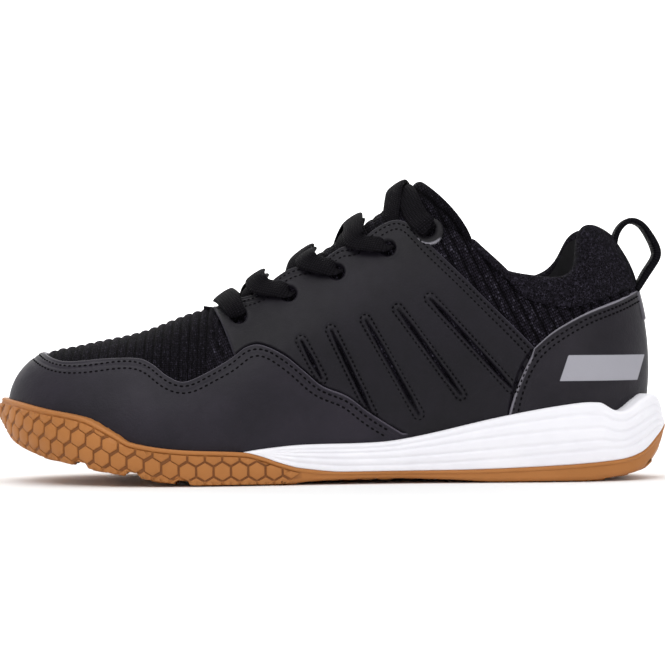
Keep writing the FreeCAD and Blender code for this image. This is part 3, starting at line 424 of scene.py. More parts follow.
def leather(name, base, shade, edge):
    """Full-grain leather, drum-dyed and finished smooth: a soft satin sheen, fine pebble grain 0.7 mm
    across, cloudy dye, and a paler raw cut edge; on the round eyelet pads that edge colour is a painted
    highlight instead."""
    material, tree, skin, place = new_material(name, Roughness=0.45, Specular_IOR_Level=0.2)
    cloud = add(tree, "TexNoise", {"Vector": place, "Scale": 45.0, "Detail": 4.0})
    patch = add(tree, "MapRange", {"Value": cloud, "From Min": 0.35, "From Max": 0.68})
    dye = add(tree, "Mix", {0: patch, 6: colour(shade), 7: colour(base)}, 2, data_type="RGBA")
    # The edge channel gives a real paler raw cut edge on the overlays, and a painted highlight on the
    # lower rim of the round eyelet pads.
    cut = add(tree, "Attribute", out="Fac", attribute_name="edge")
    tint = add(tree, "Mix", {0: cut, 6: dye, 7: colour(edge)}, 2, data_type="RGBA")
    tree.links.new(tint, skin["Base Color"])
    grain = add(tree, "TexVoronoi", {"Vector": place, "Scale": 1400.0}, feature="SMOOTH_F1")
    crease = add(tree, "TexNoise", {"Vector": place, "Scale": 260.0, "Detail": 5.0,
                                    "Roughness": 0.6})
    folds = add(tree, "Bump", {"Height": crease, "Distance": 0.25 * MM, "Strength": 0.5})
    pebbles = add(tree, "Bump", {"Height": grain, "Distance": 0.10 * MM, "Strength": 0.55,
                                 "Normal": folds})
    tree.links.new(pebbles, skin["Normal"])
    gloss = add(tree, "MapRange", {"Value": crease, "To Min": 0.40, "To Max": 0.58})
    tree.links.new(gloss, skin["Roughness"])
    return material


def knit(name, yarn, gap, fleck, wale=0.95, course=0.75, depth=0.35):
    """Flat-bed knitted polyester: rows of matt loops wale by course millimetres with dark gaps, and
    here and there a paler yarn, with painted shade in the valleys between the raised ribs.  Loops are
    drawn at about their real size."""
    material, tree, skin, _ = new_material(name, Roughness=0.85, Specular_IOR_Level=0.06)
    cloth = add(tree, "Attribute", out="Vector", attribute_name="cloth")
    laid = add(tree, "VectorMath", {0: cloth, 1: (1 / wale, 1 / course, 0)}, operation="MULTIPLY")
    loops = add(tree, "TexVoronoi", {"Vector": laid, "Scale": 1.0, "Randomness": 0.35},
                "Distance")
    shade = add(tree, "MapRange", {"Value": loops, "From Min": 0.62, "From Max": 0.2})
    tone = add(tree, "SeparateColor", {0: loops.node.outputs["Color"]})
    paler = add(tree, "MapRange", {"Value": tone, "From Min": 0.72, "From Max": 1.0})
    pale = add(tree, "Mix", {0: paler, 6: colour(yarn), 7: colour(fleck)}, 2, data_type="RGBA")
    # Painted shade: where the rib channel is low, in the valleys between the ribs, the colour turns to
    # the dark gap tone.
    rib = add(tree, "Attribute", out="Fac", attribute_name="rib")
    raised = add(tree, "MapRange", {"Value": rib, "From Min": 0.1, "From Max": 0.9})
    ribbed = add(tree, "Mix", {0: raised, 6: colour(gap), 7: pale}, 2, data_type="RGBA")
    tint = add(tree, "Mix", {0: shade, 6: colour(gap), 7: ribbed}, 2, data_type="RGBA")
    tree.links.new(tint, skin["Base Color"])
    tree.links.new(add(tree, "Bump", {"Height": shade, "Distance": depth * MM, "Strength": 1.0}),
                   skin["Normal"])
    return material


def spacer_mesh(name, yarn, gap, fleck):
    """Warp-knitted spacer mesh: an open face of round holes about 1.2 mm apart, with speckled
    yarns, so it looks rough and matt."""
    material, tree, skin, place = new_material(name, Roughness=0.9, Specular_IOR_Level=0.06)
    cell = add(tree, "TexVoronoi", {"Vector": place, "Scale": 1300.0, "Randomness": 0.8},
               "Distance")
    face = add(tree, "MapRange", {"Value": cell, "From Min": 0.15, "From Max": 0.6})
    tone = add(tree, "SeparateColor", {0: cell.node.outputs["Color"]}, 1)
    paler = add(tree, "MapRange", {"Value": tone, "From Min": 0.6, "From Max": 1.0})
    speck = add(tree, "Mix", {0: paler, 6: colour(yarn), 7: colour(fleck)}, 2, data_type="RGBA")
    tint = add(tree, "Mix", {0: face, 6: colour(gap), 7: speck}, 2, data_type="RGBA")
    tree.links.new(tint, skin["Base Color"])
    tree.links.new(add(tree, "Bump", {"Height": face, "Distance": 0.4 * MM, "Strength": 1.0}),
                   skin["Normal"])
    return material


def woven(name, yarn, gap, rib_mm, depth=0.3):
    """Flat woven polyester: narrow ribs along the band, crossed by the weft, with matt yarns."""
    material, tree, skin, _ = new_material(name, Roughness=0.75, Specular_IOR_Level=0.06)
    cloth = add(tree, "Attribute", out="Vector", attribute_name="cloth")
    laid = add(tree, "VectorMath", {0: cloth, 1: (1 / rib_mm, 0.8 / rib_mm, 0)},
               operation="MULTIPLY")
    cell = add(tree, "TexVoronoi", {"Vector": laid, "Scale": 1.0, "Randomness": 0.12}, "Distance")
    shade = add(tree, "MapRange", {"Value": cell, "From Min": 0.62, "From Max": 0.15})
    tint = add(tree, "Mix", {0: shade, 6: colour(gap), 7: colour(yarn)}, 2, data_type="RGBA")
    tree.links.new(tint, skin["Base Color"])
    tree.links.new(add(tree, "Bump", {"Height": shade, "Distance": depth * MM, "Strength": 1.0}),
                   skin["Normal"])
    return material


def moulded(name, base, shade, roughness, patch=30.0, grit=1600.0, depth=0.05, **shader):
    """Moulded rubber, foam or plastic: nearly even colour with faint clouds and a fine mould grain."""
    material, tree, skin, place = new_material(name, Roughness=roughness, **shader)
    cloud = add(tree, "TexNoise", {"Vector": place, "Scale": patch, "Detail": 5.0})
    share = add(tree, "MapRange", {"Value": cloud, "From Min": 0.3, "From Max": 0.7})
    tint = add(tree, "Mix", {0: share, 6: colour(shade), 7: colour(base)}, 2, data_type="RGBA")
    tree.links.new(tint, skin["Base Color"])
    grain = add(tree, "TexNoise", {"Vector": place, "Scale": grit, "Detail": 2.0})
    tree.links.new(add(tree, "Bump", {"Height": grain, "Distance": depth * MM, "Strength": 1.0}),
                   skin["Normal"])
    return material


def tinted_where(material, channel, low, high, tone):
    """Turns a material's colour to tone as the piece's channel goes from low to high."""
    tree = material.node_tree
    base = tree.nodes["Principled BSDF"].inputs["Base Color"]
    given = add(tree, "Attribute", out="Fac", attribute_name=channel)
    share = add(tree, "MapRange", {"Value": given, "From Min": low, "From Max": high})
    tree.links.new(add(tree, "Mix", {0: share, 6: base.links[0].from_socket, 7: colour(tone)}, 2,
                       data_type="RGBA"), base)


toe_leather = leather("dyed_leather_mudguard", "#26222b", "#1d1a22", "#5f5b66")
side_leather = leather("dyed_leather_quarter", "#18151d", "#110f15", "#3b3842")
heel_leather = leather("dyed_leather_counter", "#211e25", "#18151c", "#85828b")
tinted_where(heel_leather, "band", -0.05, 0.15, "#9d9ca4")  # plain printed silver film on it
vamp_yarn = knit("knitted_polyester_vamp", "#1a181f", "#030204", "#35323d")
quarter_yarn = knit("knitted_polyester_quarter", "#24212a", "#040305", "#494652", 1.1, 0.8)
tongue_yarn = knit("knitted_polyester_tongue", "#1b1920", "#040305", "#36333e", 1.0, 0.8)
collar_mesh = spacer_mesh("spacer_mesh_collar", "#18161c", "#060508", "#302d37")
lining_cloth = spacer_mesh("brushed_polyester_lining", "#0e0d11", "#070609", "#17151b")
lace_weave = woven("woven_polyester_lace", "#131116", "#040305", 0.9)
webbing_weave = woven("woven_polyester_webbing", "#151419", "#060508", 1.0, 0.4)
sewing_thread = woven("bonded_nylon_thread", "#0d0c10", "#060507", 0.3, 0.1)
gum_rubber = moulded("moulded_gum_rubber", "#b0733c", "#a56a34", 0.55, 40.0, 1500.0, 0.05,
                     Specular_IOR_Level=0.3)
tinted_where(gum_rubber, "edge", 0.0, 1.0, "#7a4a22")      # painted shade in the grooves between its pads
white_foam = moulded("moulded_eva_foam", "#f1f0f5", "#eae9ef", 0.6, 60.0, 1800.0, 0.04)
dark_foam = moulded("open_cell_foam", "#18171b", "#100f13", 0.9, 300.0, 2200.0, 0.3)
fibre_board = moulded("pressed_fibre_board", "#b9a888", "#9c8b6c", 0.85, 200.0, 2500.0, 0.1)
stiff_sheet = moulded("thermoformed_counter_sheet", "#d9d6cc", "#c4c0b4", 0.6, 90.0, 2000.0, 0.05)
tip_plastic = moulded("cellulose_acetate_aglet", "#19181c", "#111014", 0.25, 80.0, 900.0, 0.01)
# The pads' pale edge colour is a painted highlight on their lower rim.
pad_skin = leather("pressed_eyelet_pad", "#131116", "#0f0d12", "#8a8890")


# ------------------------------------------------------------------ upper: shells on the form
def spread(count, low_edge, high_edge, length, edge_steps=(0, 0.12, 0.3, 0.55, 0.9)):
    """Shares 0..1 along a line of the given length in mm, with closer steps at chosen ends."""
    steps = np.array(edge_steps) / length
    a = steps if low_edge else np.array([0.0])
    b = 1 - steps[::-1] if high_edge else np.array([1.0])
    middle = np.linspace(a[-1], b[0], count - len(a) - len(b) + 2)[1:-1]
    return np.concatenate([a, middle, b])


def margins(P):
    """Distances in mm along the surface from each grid point to its row's and column's two ends."""
    along_rows = np.linalg.norm(np.diff(P, axis=0), axis=-1)
    along_columns = np.linalg.norm(np.diff(P, axis=1), axis=-1)
    a = np.concatenate([np.zeros((1, P.shape[1])), np.cumsum(along_rows, 0)])
    b = np.concatenate([np.zeros((P.shape[0], 1)), np.cumsum(along_columns, 1)], axis=1)
    return a, a[-1:] - a, b, b[:, -1:] - b


def rounded(distance, radius=0.8):
    """Quarter-round edge: 0 at the edge, 1 from radius mm inwards."""
    return np.sqrt(np.clip(1 - np.clip(1 - distance / radius, 0, 1) ** 2, 0, 1))


def cloth_map(P):
    """Millimetres along the rows and the columns of a grid, for weaves and knits."""
    a, _, b, _ = margins(P)
    return np.stack([a, b, 0 * a], -1)


def shell(name, q, up, outer, inner, material, slot, replaces, weave=None, **channels):
    """Layer of the upper between two offsets from the form."""
    P, N = form(q, up), form_normal(q, up)
    points, faces = between(P + N * outer[..., None], P + N * inner[..., None])
    values = {key: np.concatenate([v.ravel(), 0 * v.ravel()]) for key, v in channels.items()}
    if weave is not None:
        values["cloth"] = np.tile(weave.reshape(-1, 3), (2, 1))
    piece = put(name, points, faces, material, **values)
    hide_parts(*replaces)
    return piece


STITCH = []


def stitch_row(x, z, side, lift, pitch=2.35, length=1.55, thick=0.36):
    """Sewing thread along a side-view line: capsules one pitch apart, laid on the form."""
    q, up = find_on_side(x, z, side)
    P, N = moved(q, up, np.full(q.shape, lift)), form_normal(q, up)
    reach = reach_along(P)
    marks = np.arange(pitch / 2, reach[-1], pitch)
    along = at_reach(marks + 0.5, reach, P) - at_reach(marks - 0.5, reach, P)
    lay_stitches(at_reach(marks, reach, P), unit(along), unit(at_reach(marks, reach, N)), length,
                 thick)


def stitch_rows(line, distances, side, lift, *thread):
    """Rows of stitches beside a side-view line, each its own distance below it."""
    for at in distances:
        row = parallel(line, -at)
        stitch_row(row[:, 0], row[:, 1], side, lift, *thread)


def lay_stitches(centre, along, out, length, thick):
    """Capsule for each stitch: rings of 6 points whose radius swells and whose ends dip in."""
    across = unit(np.cross(out, along))
    share = np.array([-0.5, -0.46, -0.22, 0.22, 0.46, 0.5])
    radius = np.array([0.0, 0.7, 1.0, 1.0, 0.7, 0.0]) * thick
    dip = np.array([-0.5, -0.42, 0.0, 0.0, -0.42, -0.5]) * thick * 1.6
    turn = np.arange(6) * math.tau / 6
    P = (centre[:, None, None] + along[:, None, None] * (share * length)[None, :, None, None]
         + out[:, None, None] * (dip[:, None] + radius[:, None] * np.sin(turn))[None, ..., None]
         + across[:, None, None] * (radius[:, None] * np.cos(turn))[None, ..., None])
    count = len(centre)
    index = np.arange(count * 36).reshape(count, 6, 6)
    index = np.concatenate([index, index[:, :, :1]], 2)
    faces = quads(index[:, :-1, :-1], index[:, :-1, 1:], index[:, 1:, 1:], index[:, 1:, :-1])
    STITCH.append((P.reshape(-1, 3), faces))


def finish_stitches(name):
    """All the stitches laid since the last call, as one piece of thread."""
    points, faces = joined(STITCH)
    STITCH.clear()
    piece = put(name, points, faces, sewing_thread, weld=0.004, cloth=points)
    return piece


def build_vamp():
    """Knit over the toe: arches over the crest, tilted at the toe and upright behind, ribbed across."""
    arch_x, arch_z = 110.0, 10.0
    tilts = np.radians(np.linspace(41, 90, 66))[:-1]
    stations = np.linspace(arch_x, 45.0, 176)
    tilt = np.concatenate([tilts, np.full(len(stations), math.pi / 2)])[:, None]
    shift = np.concatenate([np.zeros(len(tilts)), stations - arch_x])[:, None]

    def ahead(p):
        return ((p[..., 0] - arch_x - shift) * np.sin(tilt) - (p[..., 2] - arch_z) * np.cos(tilt))

    def bisect(point, low, high):
        a, b = low, high
        for _ in range(36):
            m = 0.5 * (a + b)
            front = ahead(point(m)) > 0
            a, b = np.where(front, m, a), np.where(front, b, m)
        return a
    column = np.zeros_like(tilt)
    top = bisect(lambda m: form(0 * m, m), column, column + 1)
    top = np.where(ahead(form(column, column + 1)) > 0, 1.0, top)
    half = 78
    w = np.linspace(0, 1, half + 1)[None]
    up = SOLE_EDGE + (top - SOLE_EDGE) * (1 - (1 - w) ** 1.5)
    sides = []
    for side in (1, -1):
        q = bisect(lambda m, s=side: form(s * m, up), 0 * up, 0 * up + THROAT + 2.2)
        sides.append((side * q, up))
    q = np.concatenate([sides[0][0], sides[1][0][:, :-1][:, ::-1]], 1)
    up = np.concatenate([up, up[:, :-1][:, ::-1]], 1)
    P = form(q, np.minimum(up, 0.9985))
    N = unit(np.cross(np.gradient(P, axis=0), np.gradient(P, axis=1)))
    reach = reach_along(P[:, half])
    height = np.linspace(0, 1, P.shape[1])[None] * 2 - 1
    wide = ridge(reach[:, None] / 3.8 + 0 * height)
    fine = ridge(reach[:, None] / 1.9 + 0 * height)
    side_share = ease((np.abs(height) - 0.35) / 0.3)
    rib = wide * (1 - side_share) + (0.35 * wide + 0.65 * fine) * side_share
    outer = P + N * (-0.45 + 0.75 * rib * (1 - 0.45 * side_share))[..., None]
    points, faces = between(outer, P - N * KNIT)
    weave = cloth_map(P)[..., [1, 0, 2]]
    weave[..., 1] = reach[:, None]
    piece = put("knit_vamp", points, faces, vamp_yarn, cloth=np.tile(weave.reshape(-1, 3), (2, 1)),
                rib=np.tile(rib.ravel(), 2))
    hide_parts("vamp_mesh")


def slanted(P):
    """Distances across and along the knit's ribs, which slope down towards the heel."""
    return 0.9 * P[..., 0] - 0.43 * P[..., 2], 0.43 * P[..., 0] + 0.9 * P[..., 2]


def build_quarter_knit(side, half):
    """Ribbed knit of one quarter, up to the collar seam behind and the eyestay in front."""
    q = np.linspace(THROAT + 0.3, HEEL - 0.02, 330)
    top = np.where(q > 11.2, rise_at(q, collar_edge) + 0.012, 0.995)
    top = np.minimum(top, 0.995)
    w = np.linspace(0, 1, 110)
    up = SOLE_EDGE + (top[:, None] - SOLE_EDGE) * w
    q = q[:, None] + 0 * up
    if side < 0:
        q, up = -q[::-1], up[::-1]
    P = form(q, up)
    across, along = slanted(P)
    rib = ridge(across / 4.2)
    full = 1.6 * ease((-P[..., 0] - 106) / 12) * ease((P[..., 2] - 60) / 12)
    shell("knit_quarter_" + half, q, up, -0.75 + 0.85 * rib + full, np.full(q.shape, -KNIT),
          quarter_yarn, "knit", ["quarter_mesh_" + half], np.stack([along, across, 0 * rib], -1),
          rib=rib)


def build_mudguard():
    """Toe rand and mudguard: one leather skin round the forefoot with a wavy upper edge."""
    q = np.linspace(-9.75, 9.75, 640)
    top = np.maximum(rise_at(q, guard_edge), SOLE_EDGE + 0.035)
    share = spread(62, False, True, 38.0)
    up = SOLE_EDGE + (top[:, None] - SOLE_EDGE) * share
    q = q[:, None] + 0 * up
    P = form(q, up)
    d = margins(P)[3]
    seams = (2.0, 4.6)
    seam = sum(bell(d, at, 0.5) for at in seams)
    crease = 0.12 * np.sin(P[..., 0] / 9 + 1.5 * np.sin(P[..., 2] / 11)) * ease((d - 6) / 8)
    outer = SKIN_NEAR + (SKIN_FAR - SKIN_NEAR) * rounded(d) - 0.22 * seam + crease
    edge = 1 - ease((d - 0.25) / 0.5)
    shell("leather_mudguard", q, up, outer, np.full(q.shape, SKIN_NEAR), toe_leather, "leather",
          ["mudguard"], edge=edge)
    for side, _ in SIDES:
        stitch_rows(smooth_path(GUARD_TOP[:-1]), seams, side, SKIN_FAR + 0.02)
    finish_stitches("stitches_mudguard")


SLIT_SEAM = 2.2          # from a slit's middle to the stitches round it


def slit_path(slit):
    """Rounded loop of stitching round one slit: a half circle at each end, joined by lines."""
    (x0, z0), (x1, z1) = slit
    ax, az = x1 - x0, z1 - z0
    length = math.hypot(ax, az)
    ax, az = ax / length, az / length
    turn = np.radians(np.linspace(-90, 90, 14))
    c, s = SLIT_SEAM * np.cos(turn), SLIT_SEAM * np.sin(turn)
    head = np.stack([x0 - c * ax - s * az, z0 - c * az + s * ax], 1)
    tail = np.stack([x1 + c * ax + s * az, z1 + c * az - s * ax], 1)
    loop = np.concatenate([head, tail, head[:1]])
    reach = reach_along(loop)
    return at_reach(np.linspace(0, reach[-1], int(reach[-1] / 0.6)), reach, loop)


def counter_front(w):
    """Rib number of the counter's front edge, w from 0 at the sole to 1 at the top."""
    return 12.05 + 0.7 * w ** 1.4


EYESTAY_FRONT = 6.0      # rib number at the foot of the quarter's front edge
GUARD_END = 9.6          # rib number behind which no mudguard lies over the quarter


def build_quarter(side, half):
    """Leather quarter with eyestay tabs, punched eyelets and five slits with their lips."""
    columns, rows = 330, 124
    share = np.linspace(0, 1, columns)[:, None]
    w = spread(rows, False, True, 62.0)[None]
    front = EYESTAY_FRONT - 0.62 * w
    back = counter_front(w * 0.98) + 0.14
    q = front + (back - front) * share
    low = np.maximum(rise_at(q[:, 0], guard_edge) - 0.06, SOLE_EDGE)[:, None]
    low = np.where(q > GUARD_END, SOLE_EDGE, low)
    high = np.maximum(rise_at(q, quarter_edge, last=1.1), low + 0.05)
    up = low + (high - low) * w
    if side < 0:
        q, up = -q[::-1], up[::-1]
    P = form(q, up)
    X, Z = P[..., 0], P[..., 2]
    start, behind, _, d = margins(P)
    if side < 0:
        start, behind = behind, start
    border = np.minimum(d, start)
    opened, lips = np.zeros_like(X), np.zeros_like(X)
    for slit in SLITS:
        near = distance_to(X, Z, np.array(slit))
        along = np.minimum(np.hypot(X - slit[0][0], Z - slit[0][1]),
                           np.hypot(X - slit[1][0], Z - slit[1][1]))
        gape = 0.2 + 0.5 * ease(along / 9)
        opened = np.maximum(opened, ease((gape + 0.35 - near) / 0.7))
        lips += 0.28 * bell(near, gape + 0.75, 0.5) - 0.20 * bell(near, SLIT_SEAM, 0.45)
    for x, z in EYELETS[:4]:
        near = np.hypot(X - x, Z - z)
        opened = np.maximum(opened, ease((3.2 - near) / 0.7))
        lips += 0.15 * bell(near, 3.9, 0.6)
    seams = (1.8, 4.0)
    seam = sum(bell(d, at, 0.45) for at in seams)
    crease = 0.16 * np.sin(X / 7 + 1.3 * np.sin(Z / 9)) * ease((d - 6) / 8)
    outer = SKIN_NEAR + (SKIN_FAR - SKIN_NEAR) * rounded(border) + lips - 0.18 * seam + crease
    outer = outer * (1 - opened) - 0.75 * opened
    under_guard = ease((guard_edge(X) - Z + 0.9) / 0.8) * ease((X + 29.5) / 1.5)
    tucked = np.maximum(under_guard, 1 - ease((behind - 1.6) / 1.2))
    outer = outer * (1 - tucked) + np.minimum(outer, 0.0) * tucked
    inner = np.minimum(SKIN_NEAR, outer - 0.25)
    edge = (1 - ease((border - 0.2) / 0.5)) * (1 - opened)
    shell("leather_quarter_" + half, q, up, outer, inner, side_leather, "leather",
          ["quarter_overlay_" + half], edge=edge)
    stitch_rows(smooth_path(QUARTER_TOP[1:]), seams, side, SKIN_FAR + 0.02, 2.0, 1.3, 0.3)
    for slit in SLITS:
        loop = slit_path(slit)
        keep = loop[:, 1] > guard_edge(loop[:, 0]) + 0.5
        stitch_row(loop[keep, 0], loop[keep, 1], side, SKIN_FAR + 0.05, 1.9, 1.15, 0.28)
    finish_stitches("stitches_leather_quarter_" + half)


def build_counter():
    """Heel counter skin with piped front and top edge, two rows of stitches and the slanted field
    of a plain reflective band on each side."""
    columns, rows = 360, 100
    w = spread(rows, False, True, 48.0)[None]
    share = spread(columns, True, True, 110.0)[:, None]
    q = counter_front(w) + (RIB_COUNT - 2 * counter_front(w)) * share
    up = SOLE_EDGE + (rise_at(q, counter_edge) - SOLE_EDGE) * w
    P = form(q, up)
    X, Z = P[..., 0], P[..., 2]
    front, back, _, top = margins(P)
    d = np.minimum(np.minimum(front, back), top)
    face, seams = SKIN_FAR + 0.45, (2.4, 4.4)
    seam = sum(bell(d, at, 0.45) for at in seams)
    outer = SKIN_NEAR + (face - SKIN_NEAR) * rounded(d, 0.9) - 0.2 * seam + 0.35 * bell(d, 0.7, 0.5)
    edge = 1 - ease((d - 0.5) / 0.45)
    lean = X + 0.35 * (Z - 45)
    inside = np.minimum(np.minimum(-90.5 - lean, lean + 122), np.minimum(Z - 39.5, 49.5 - Z))
    shell("leather_heel_counter", q, up, outer, np.full(q.shape, SKIN_NEAR), heel_leather,
          "leather", ["heel_counter_overlay"], edge=edge, band=inside)
    for side, _ in SIDES:
        stitch_rows(smooth_path(COUNTER_TOP), seams, side, face, 2.3, 1.5)
    finish_stitches("stitches_counter")


def build_heel_patch():
    """Small reflective patch up the back of the heel."""
    q = np.linspace(HEEL - 0.55, HEEL + 0.55, 40)[:, None]
    low = rise_at(q, lambda x: 63.0 + 0 * x)
    high = rise_at(q, counter_edge, -0.6)
    up = low + (high - low) * np.linspace(0, 1, 40)[None]
    q = q + 0 * up
    near = np.minimum.reduce(margins(form(q, up)))
    inner = np.full(q.shape, 1.6)
    outer = inner + 0.9 * rounded(near)
    shell("heel_patch_film", q, up, outer, inner, heel_leather, "reflective",
          ["heel_patch"], edge=0.35 + 0 * outer, band=0 * outer - 1)


def build_linings():
    """Textile linings inside the vamp, quarters and heel."""
    foot = 0.03

    def lining(name, q, up, node):
        shell(name, q, up, np.full(q.shape, -LINING), np.full(q.shape, -LINING - LINING_THICK),
              lining_cloth, "lining", [node])
    for side, half in SIDES:
        q = np.linspace(THROAT + 0.06, 11.2, 90)[:, None]
        up = foot + (0.985 - foot) * np.linspace(0, 1, 50)[None]
        q, up = q + 0 * up, up + 0 * q
        if side < 0:
            q, up = -q[::-1], up[::-1]
        lining("lining_quarter_" + half, q, up, "quarter_lining_" + half)
    q = np.linspace(11.22, RIB_COUNT - 11.22, 160)
    high = rise_at(q, collar_edge) + 0.02
    up = foot + (high[:, None] - foot) * np.linspace(0, 1, 40)
    lining("lining_heel", q[:, None] + 0 * up, up, "heel_lining")


COLLAR_FROM = 11.3       # rib number where the padded collar starts, and ends on the inner side


def build_collar():
    """Padded collar: from its seam up the outside, a half round over the top line, down inside and
    back, swollen between seam and top; the ends close in over 5 mm."""
    radius = 4.0
    q = np.linspace(COLLAR_FROM, RIB_COUNT - COLLAR_FROM, 300)
    low = rise_at(q, collar_edge)
    brim, below = 0.985, 0.9
    per_mm = (brim - below) / np.linalg.norm(form(q, brim) - form(q, below), axis=1)
    high = np.maximum(brim - (radius - 0.3) * per_mm, low + 0.02)
    t = np.linspace(0, 1, 22)[None]
    faces_up = low[:, None] + (high - low)[:, None] * t
    qq = q[:, None] + 0 * faces_up
    puff = -0.2 + 1.3 * np.sin(math.pi * np.clip(t * 0.85 + 0.02, 0, 1)) ** 0.5
    puff = puff + 0.14 * np.sin(qq * 9.0 + 5 * t) * np.sin(math.pi * t)
    puff = puff + 2.0 * (1 - t) * ease((-form(qq, faces_up)[..., 0] - 106) / 12)
    face = moved(qq, faces_up, puff)
    last = puff[:, -1]
    top, N = form(q, high), form_normal(q, high)
    U = unit(form(q, high + 0.01) - form(q, high - 0.01))
    turn = np.linspace(0, math.pi, 20)[1:-1]
    arc = (top[:, None] + N[:, None] * (last[:, None] - radius + radius * np.cos(turn))[..., None]
           + U[:, None] * (radius * np.sin(turn))[None, :, None])
    back = moved(qq, faces_up, (last[:, None] - 2 * radius) + 0.8 * np.sin(math.pi * t))[:, ::-1]
    sections = np.concatenate([face, arc, back], 1)
    reach = reach_along(top)
    end = rounded(np.minimum(reach, reach[-1] - reach), 5.0)[:, None, None]
    middle = sections.mean(1, keepdims=True)
    sections = middle + (sections - middle) * end
    points, faces = tube(sections)
    piece = put("collar_pad", points, faces, collar_mesh, weld=0.002)
    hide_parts("collar_cover")
    row = smooth_path(COLLAR_SEAM[1:])
    for side, _ in SIDES:
        stitch_row(row[:, 0], row[:, 1] - 0.8, side, 0.15, 2.4, 1.5, 0.3)
    finish_stitches("stitches_collar")


# ------------------------------------------------------------------ tongue
TONGUE_LINE = [(54, 66.4), (46, 70.2), (38, 73.4), (30, 77), (12.5, 86.4), (1, 93.6), (-18, 106),
               (-31, 116.2), (-36, 120)]


def tongue_face(t, a):
    """Face of tongue and gusset: t from root to rim, a across from -1 to 1.

    The middle follows the tongue line and the sides a line inside the eyestay that ends at the
    collar's front corners; between them the arch drops as a^2 while y grows as its sine.
    """
    knots, value = spline(TONGUE_LINE)
    middle = value(t * knots[-1])
    q = 5.15 + 6.25 * t
    side_q = np.where(a >= 0, q, -q)
    side = moved(side_q, 0.975 + 0 * q, 0 * q - 1.6 - 0.8 * np.sin(math.pi * t))
    share = np.abs(a)
    fall = share ** 2
    x = middle[..., 0] + (side[..., 0] - middle[..., 0]) * (1 - (1 - fall) ** (1 + 0.7 * t))
    z = middle[..., 1] + (side[..., 2] - middle[..., 1]) * fall
    y = side[..., 1] * np.sin(math.pi / 2 * share) ** 0.9
    return np.stack([x, y, z], -1)


def build_tongue():
    """Padded knit tongue with side gussets, ribbed, with a bound rim, and its lining."""
    t = spread(150, False, True, 105.0, (0, 0.2, 0.5, 1.0, 1.6))[:, None]
    a = np.linspace(-1, 1, 131)[None]
    P = tongue_face(t + 0 * a, a + 0 * t)
    N = unit(np.cross(np.gradient(P, axis=0), np.gradient(P, axis=1)))
    N *= np.sign(N[..., 2].mean())
    _, rim, _, _ = margins(P)
    across, along = slanted(P)
    rib = ridge(across / 4.0) * ease((rim - 4) / 3)
    thick = 1.2 + 4.0 * (1 - np.abs(a) ** 4) * rounded(rim, 3.0)
    binding = 0.9 * np.sin(np.clip(rim / 4.5, 0, 1) * math.pi) ** 0.7
    outer = P + N * (0.45 * rib + binding - 0.3)[..., None]
    inner = P - N * thick[..., None]
    weave = np.stack([along, across, P[..., 1]], -1)
    flip = np.cross(P[1:, :-1] - P[:-1, :-1], P[:-1, 1:] - P[:-1, :-1])[..., 2].mean() < 0
    step = -1 if flip else 1
    points, faces = between(outer[:, ::step], inner[:, ::step])
    channels = {"rib": np.tile(np.maximum(rib, 0.55 * (rim < 4))[:, ::step].ravel(), 2),
                "cloth": np.tile(weave[:, ::step].reshape(-1, 3), (2, 1))}
    piece = put("tongue_pad", points, faces, tongue_yarn, body=None, **channels)
    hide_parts("tongue_facing", "tongue_foam")
    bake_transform(piece)
    coarse = (slice(None, None, 3), slice(None, None, 3))
    points, faces = between((P - N * (thick + 0.15)[..., None])[coarse][:, ::step],
                            (P - N * (thick + 0.95)[..., None])[coarse][:, ::step])
    piece = put("tongue_backing", points, faces, lining_cloth, body=None)
    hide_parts("tongue_lining")
    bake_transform(piece)


# ------------------------------------------------------------------ lace
tongue_height = height_curve(TONGUE_LINE)


def crest_point(x, lift):
    """Point over the middle of the tongue, lift mm out from its face."""
    slope = math.radians(34)
    return np.array([x + lift * math.sin(slope), 0, tongue_height(x) + lift * math.cos(slope)])


def flat_section(count, along_power, thick_power):
    """Rounded oblong of count points: cosine and sine raised to powers below 1, signs kept."""
    turn = np.arange(count) * math.tau / count
    c, s = np.cos(turn), np.sin(turn)
    return np.sign(c) * np.abs(c) ** along_power, np.sign(s) * np.abs(s) ** thick_power


def ribbon(path, widths, thick=1.7):
    """Flat lace along a spline: a flattened round section, broad side to the shoe, ends closed."""
    knots, value = spline(path)
    t = np.linspace(0, knots[-1], int(knots[-1] / 0.8))
    P = value(t)
    T = unit(np.gradient(P, axis=0))
    width = np.interp(t, knots, widths)
    out = unit(P - np.stack([P[:, 0] - 22, 0 * t, P[:, 2] - 33], 1))
    out = unit(out - T * (out * T).sum(1, keepdims=True))
    across = np.cross(T, out)
    flat, full = flat_section(20, 0.75, 0.75)
    end = rounded(np.minimum(t, knots[-1] - t), 0.8)
    half_wide = (width * end / 2)[:, None, None]
    high = (full * thick / 2 + 0.25 * (1 - flat ** 2))[None] * end[:, None]
    sections = P[:, None] + across[:, None] * flat[None, :, None] * half_wide
    sections = sections + out[:, None] * high[..., None]
    sections = sections[:, ::-1]
    weave = np.stack([t[:, None] + 0 * flat, flat * width[:, None] / 2, 0 * t[:, None] + full], -1)
    return tube(sections), weave[:, ::-1].reshape(-1, 3)


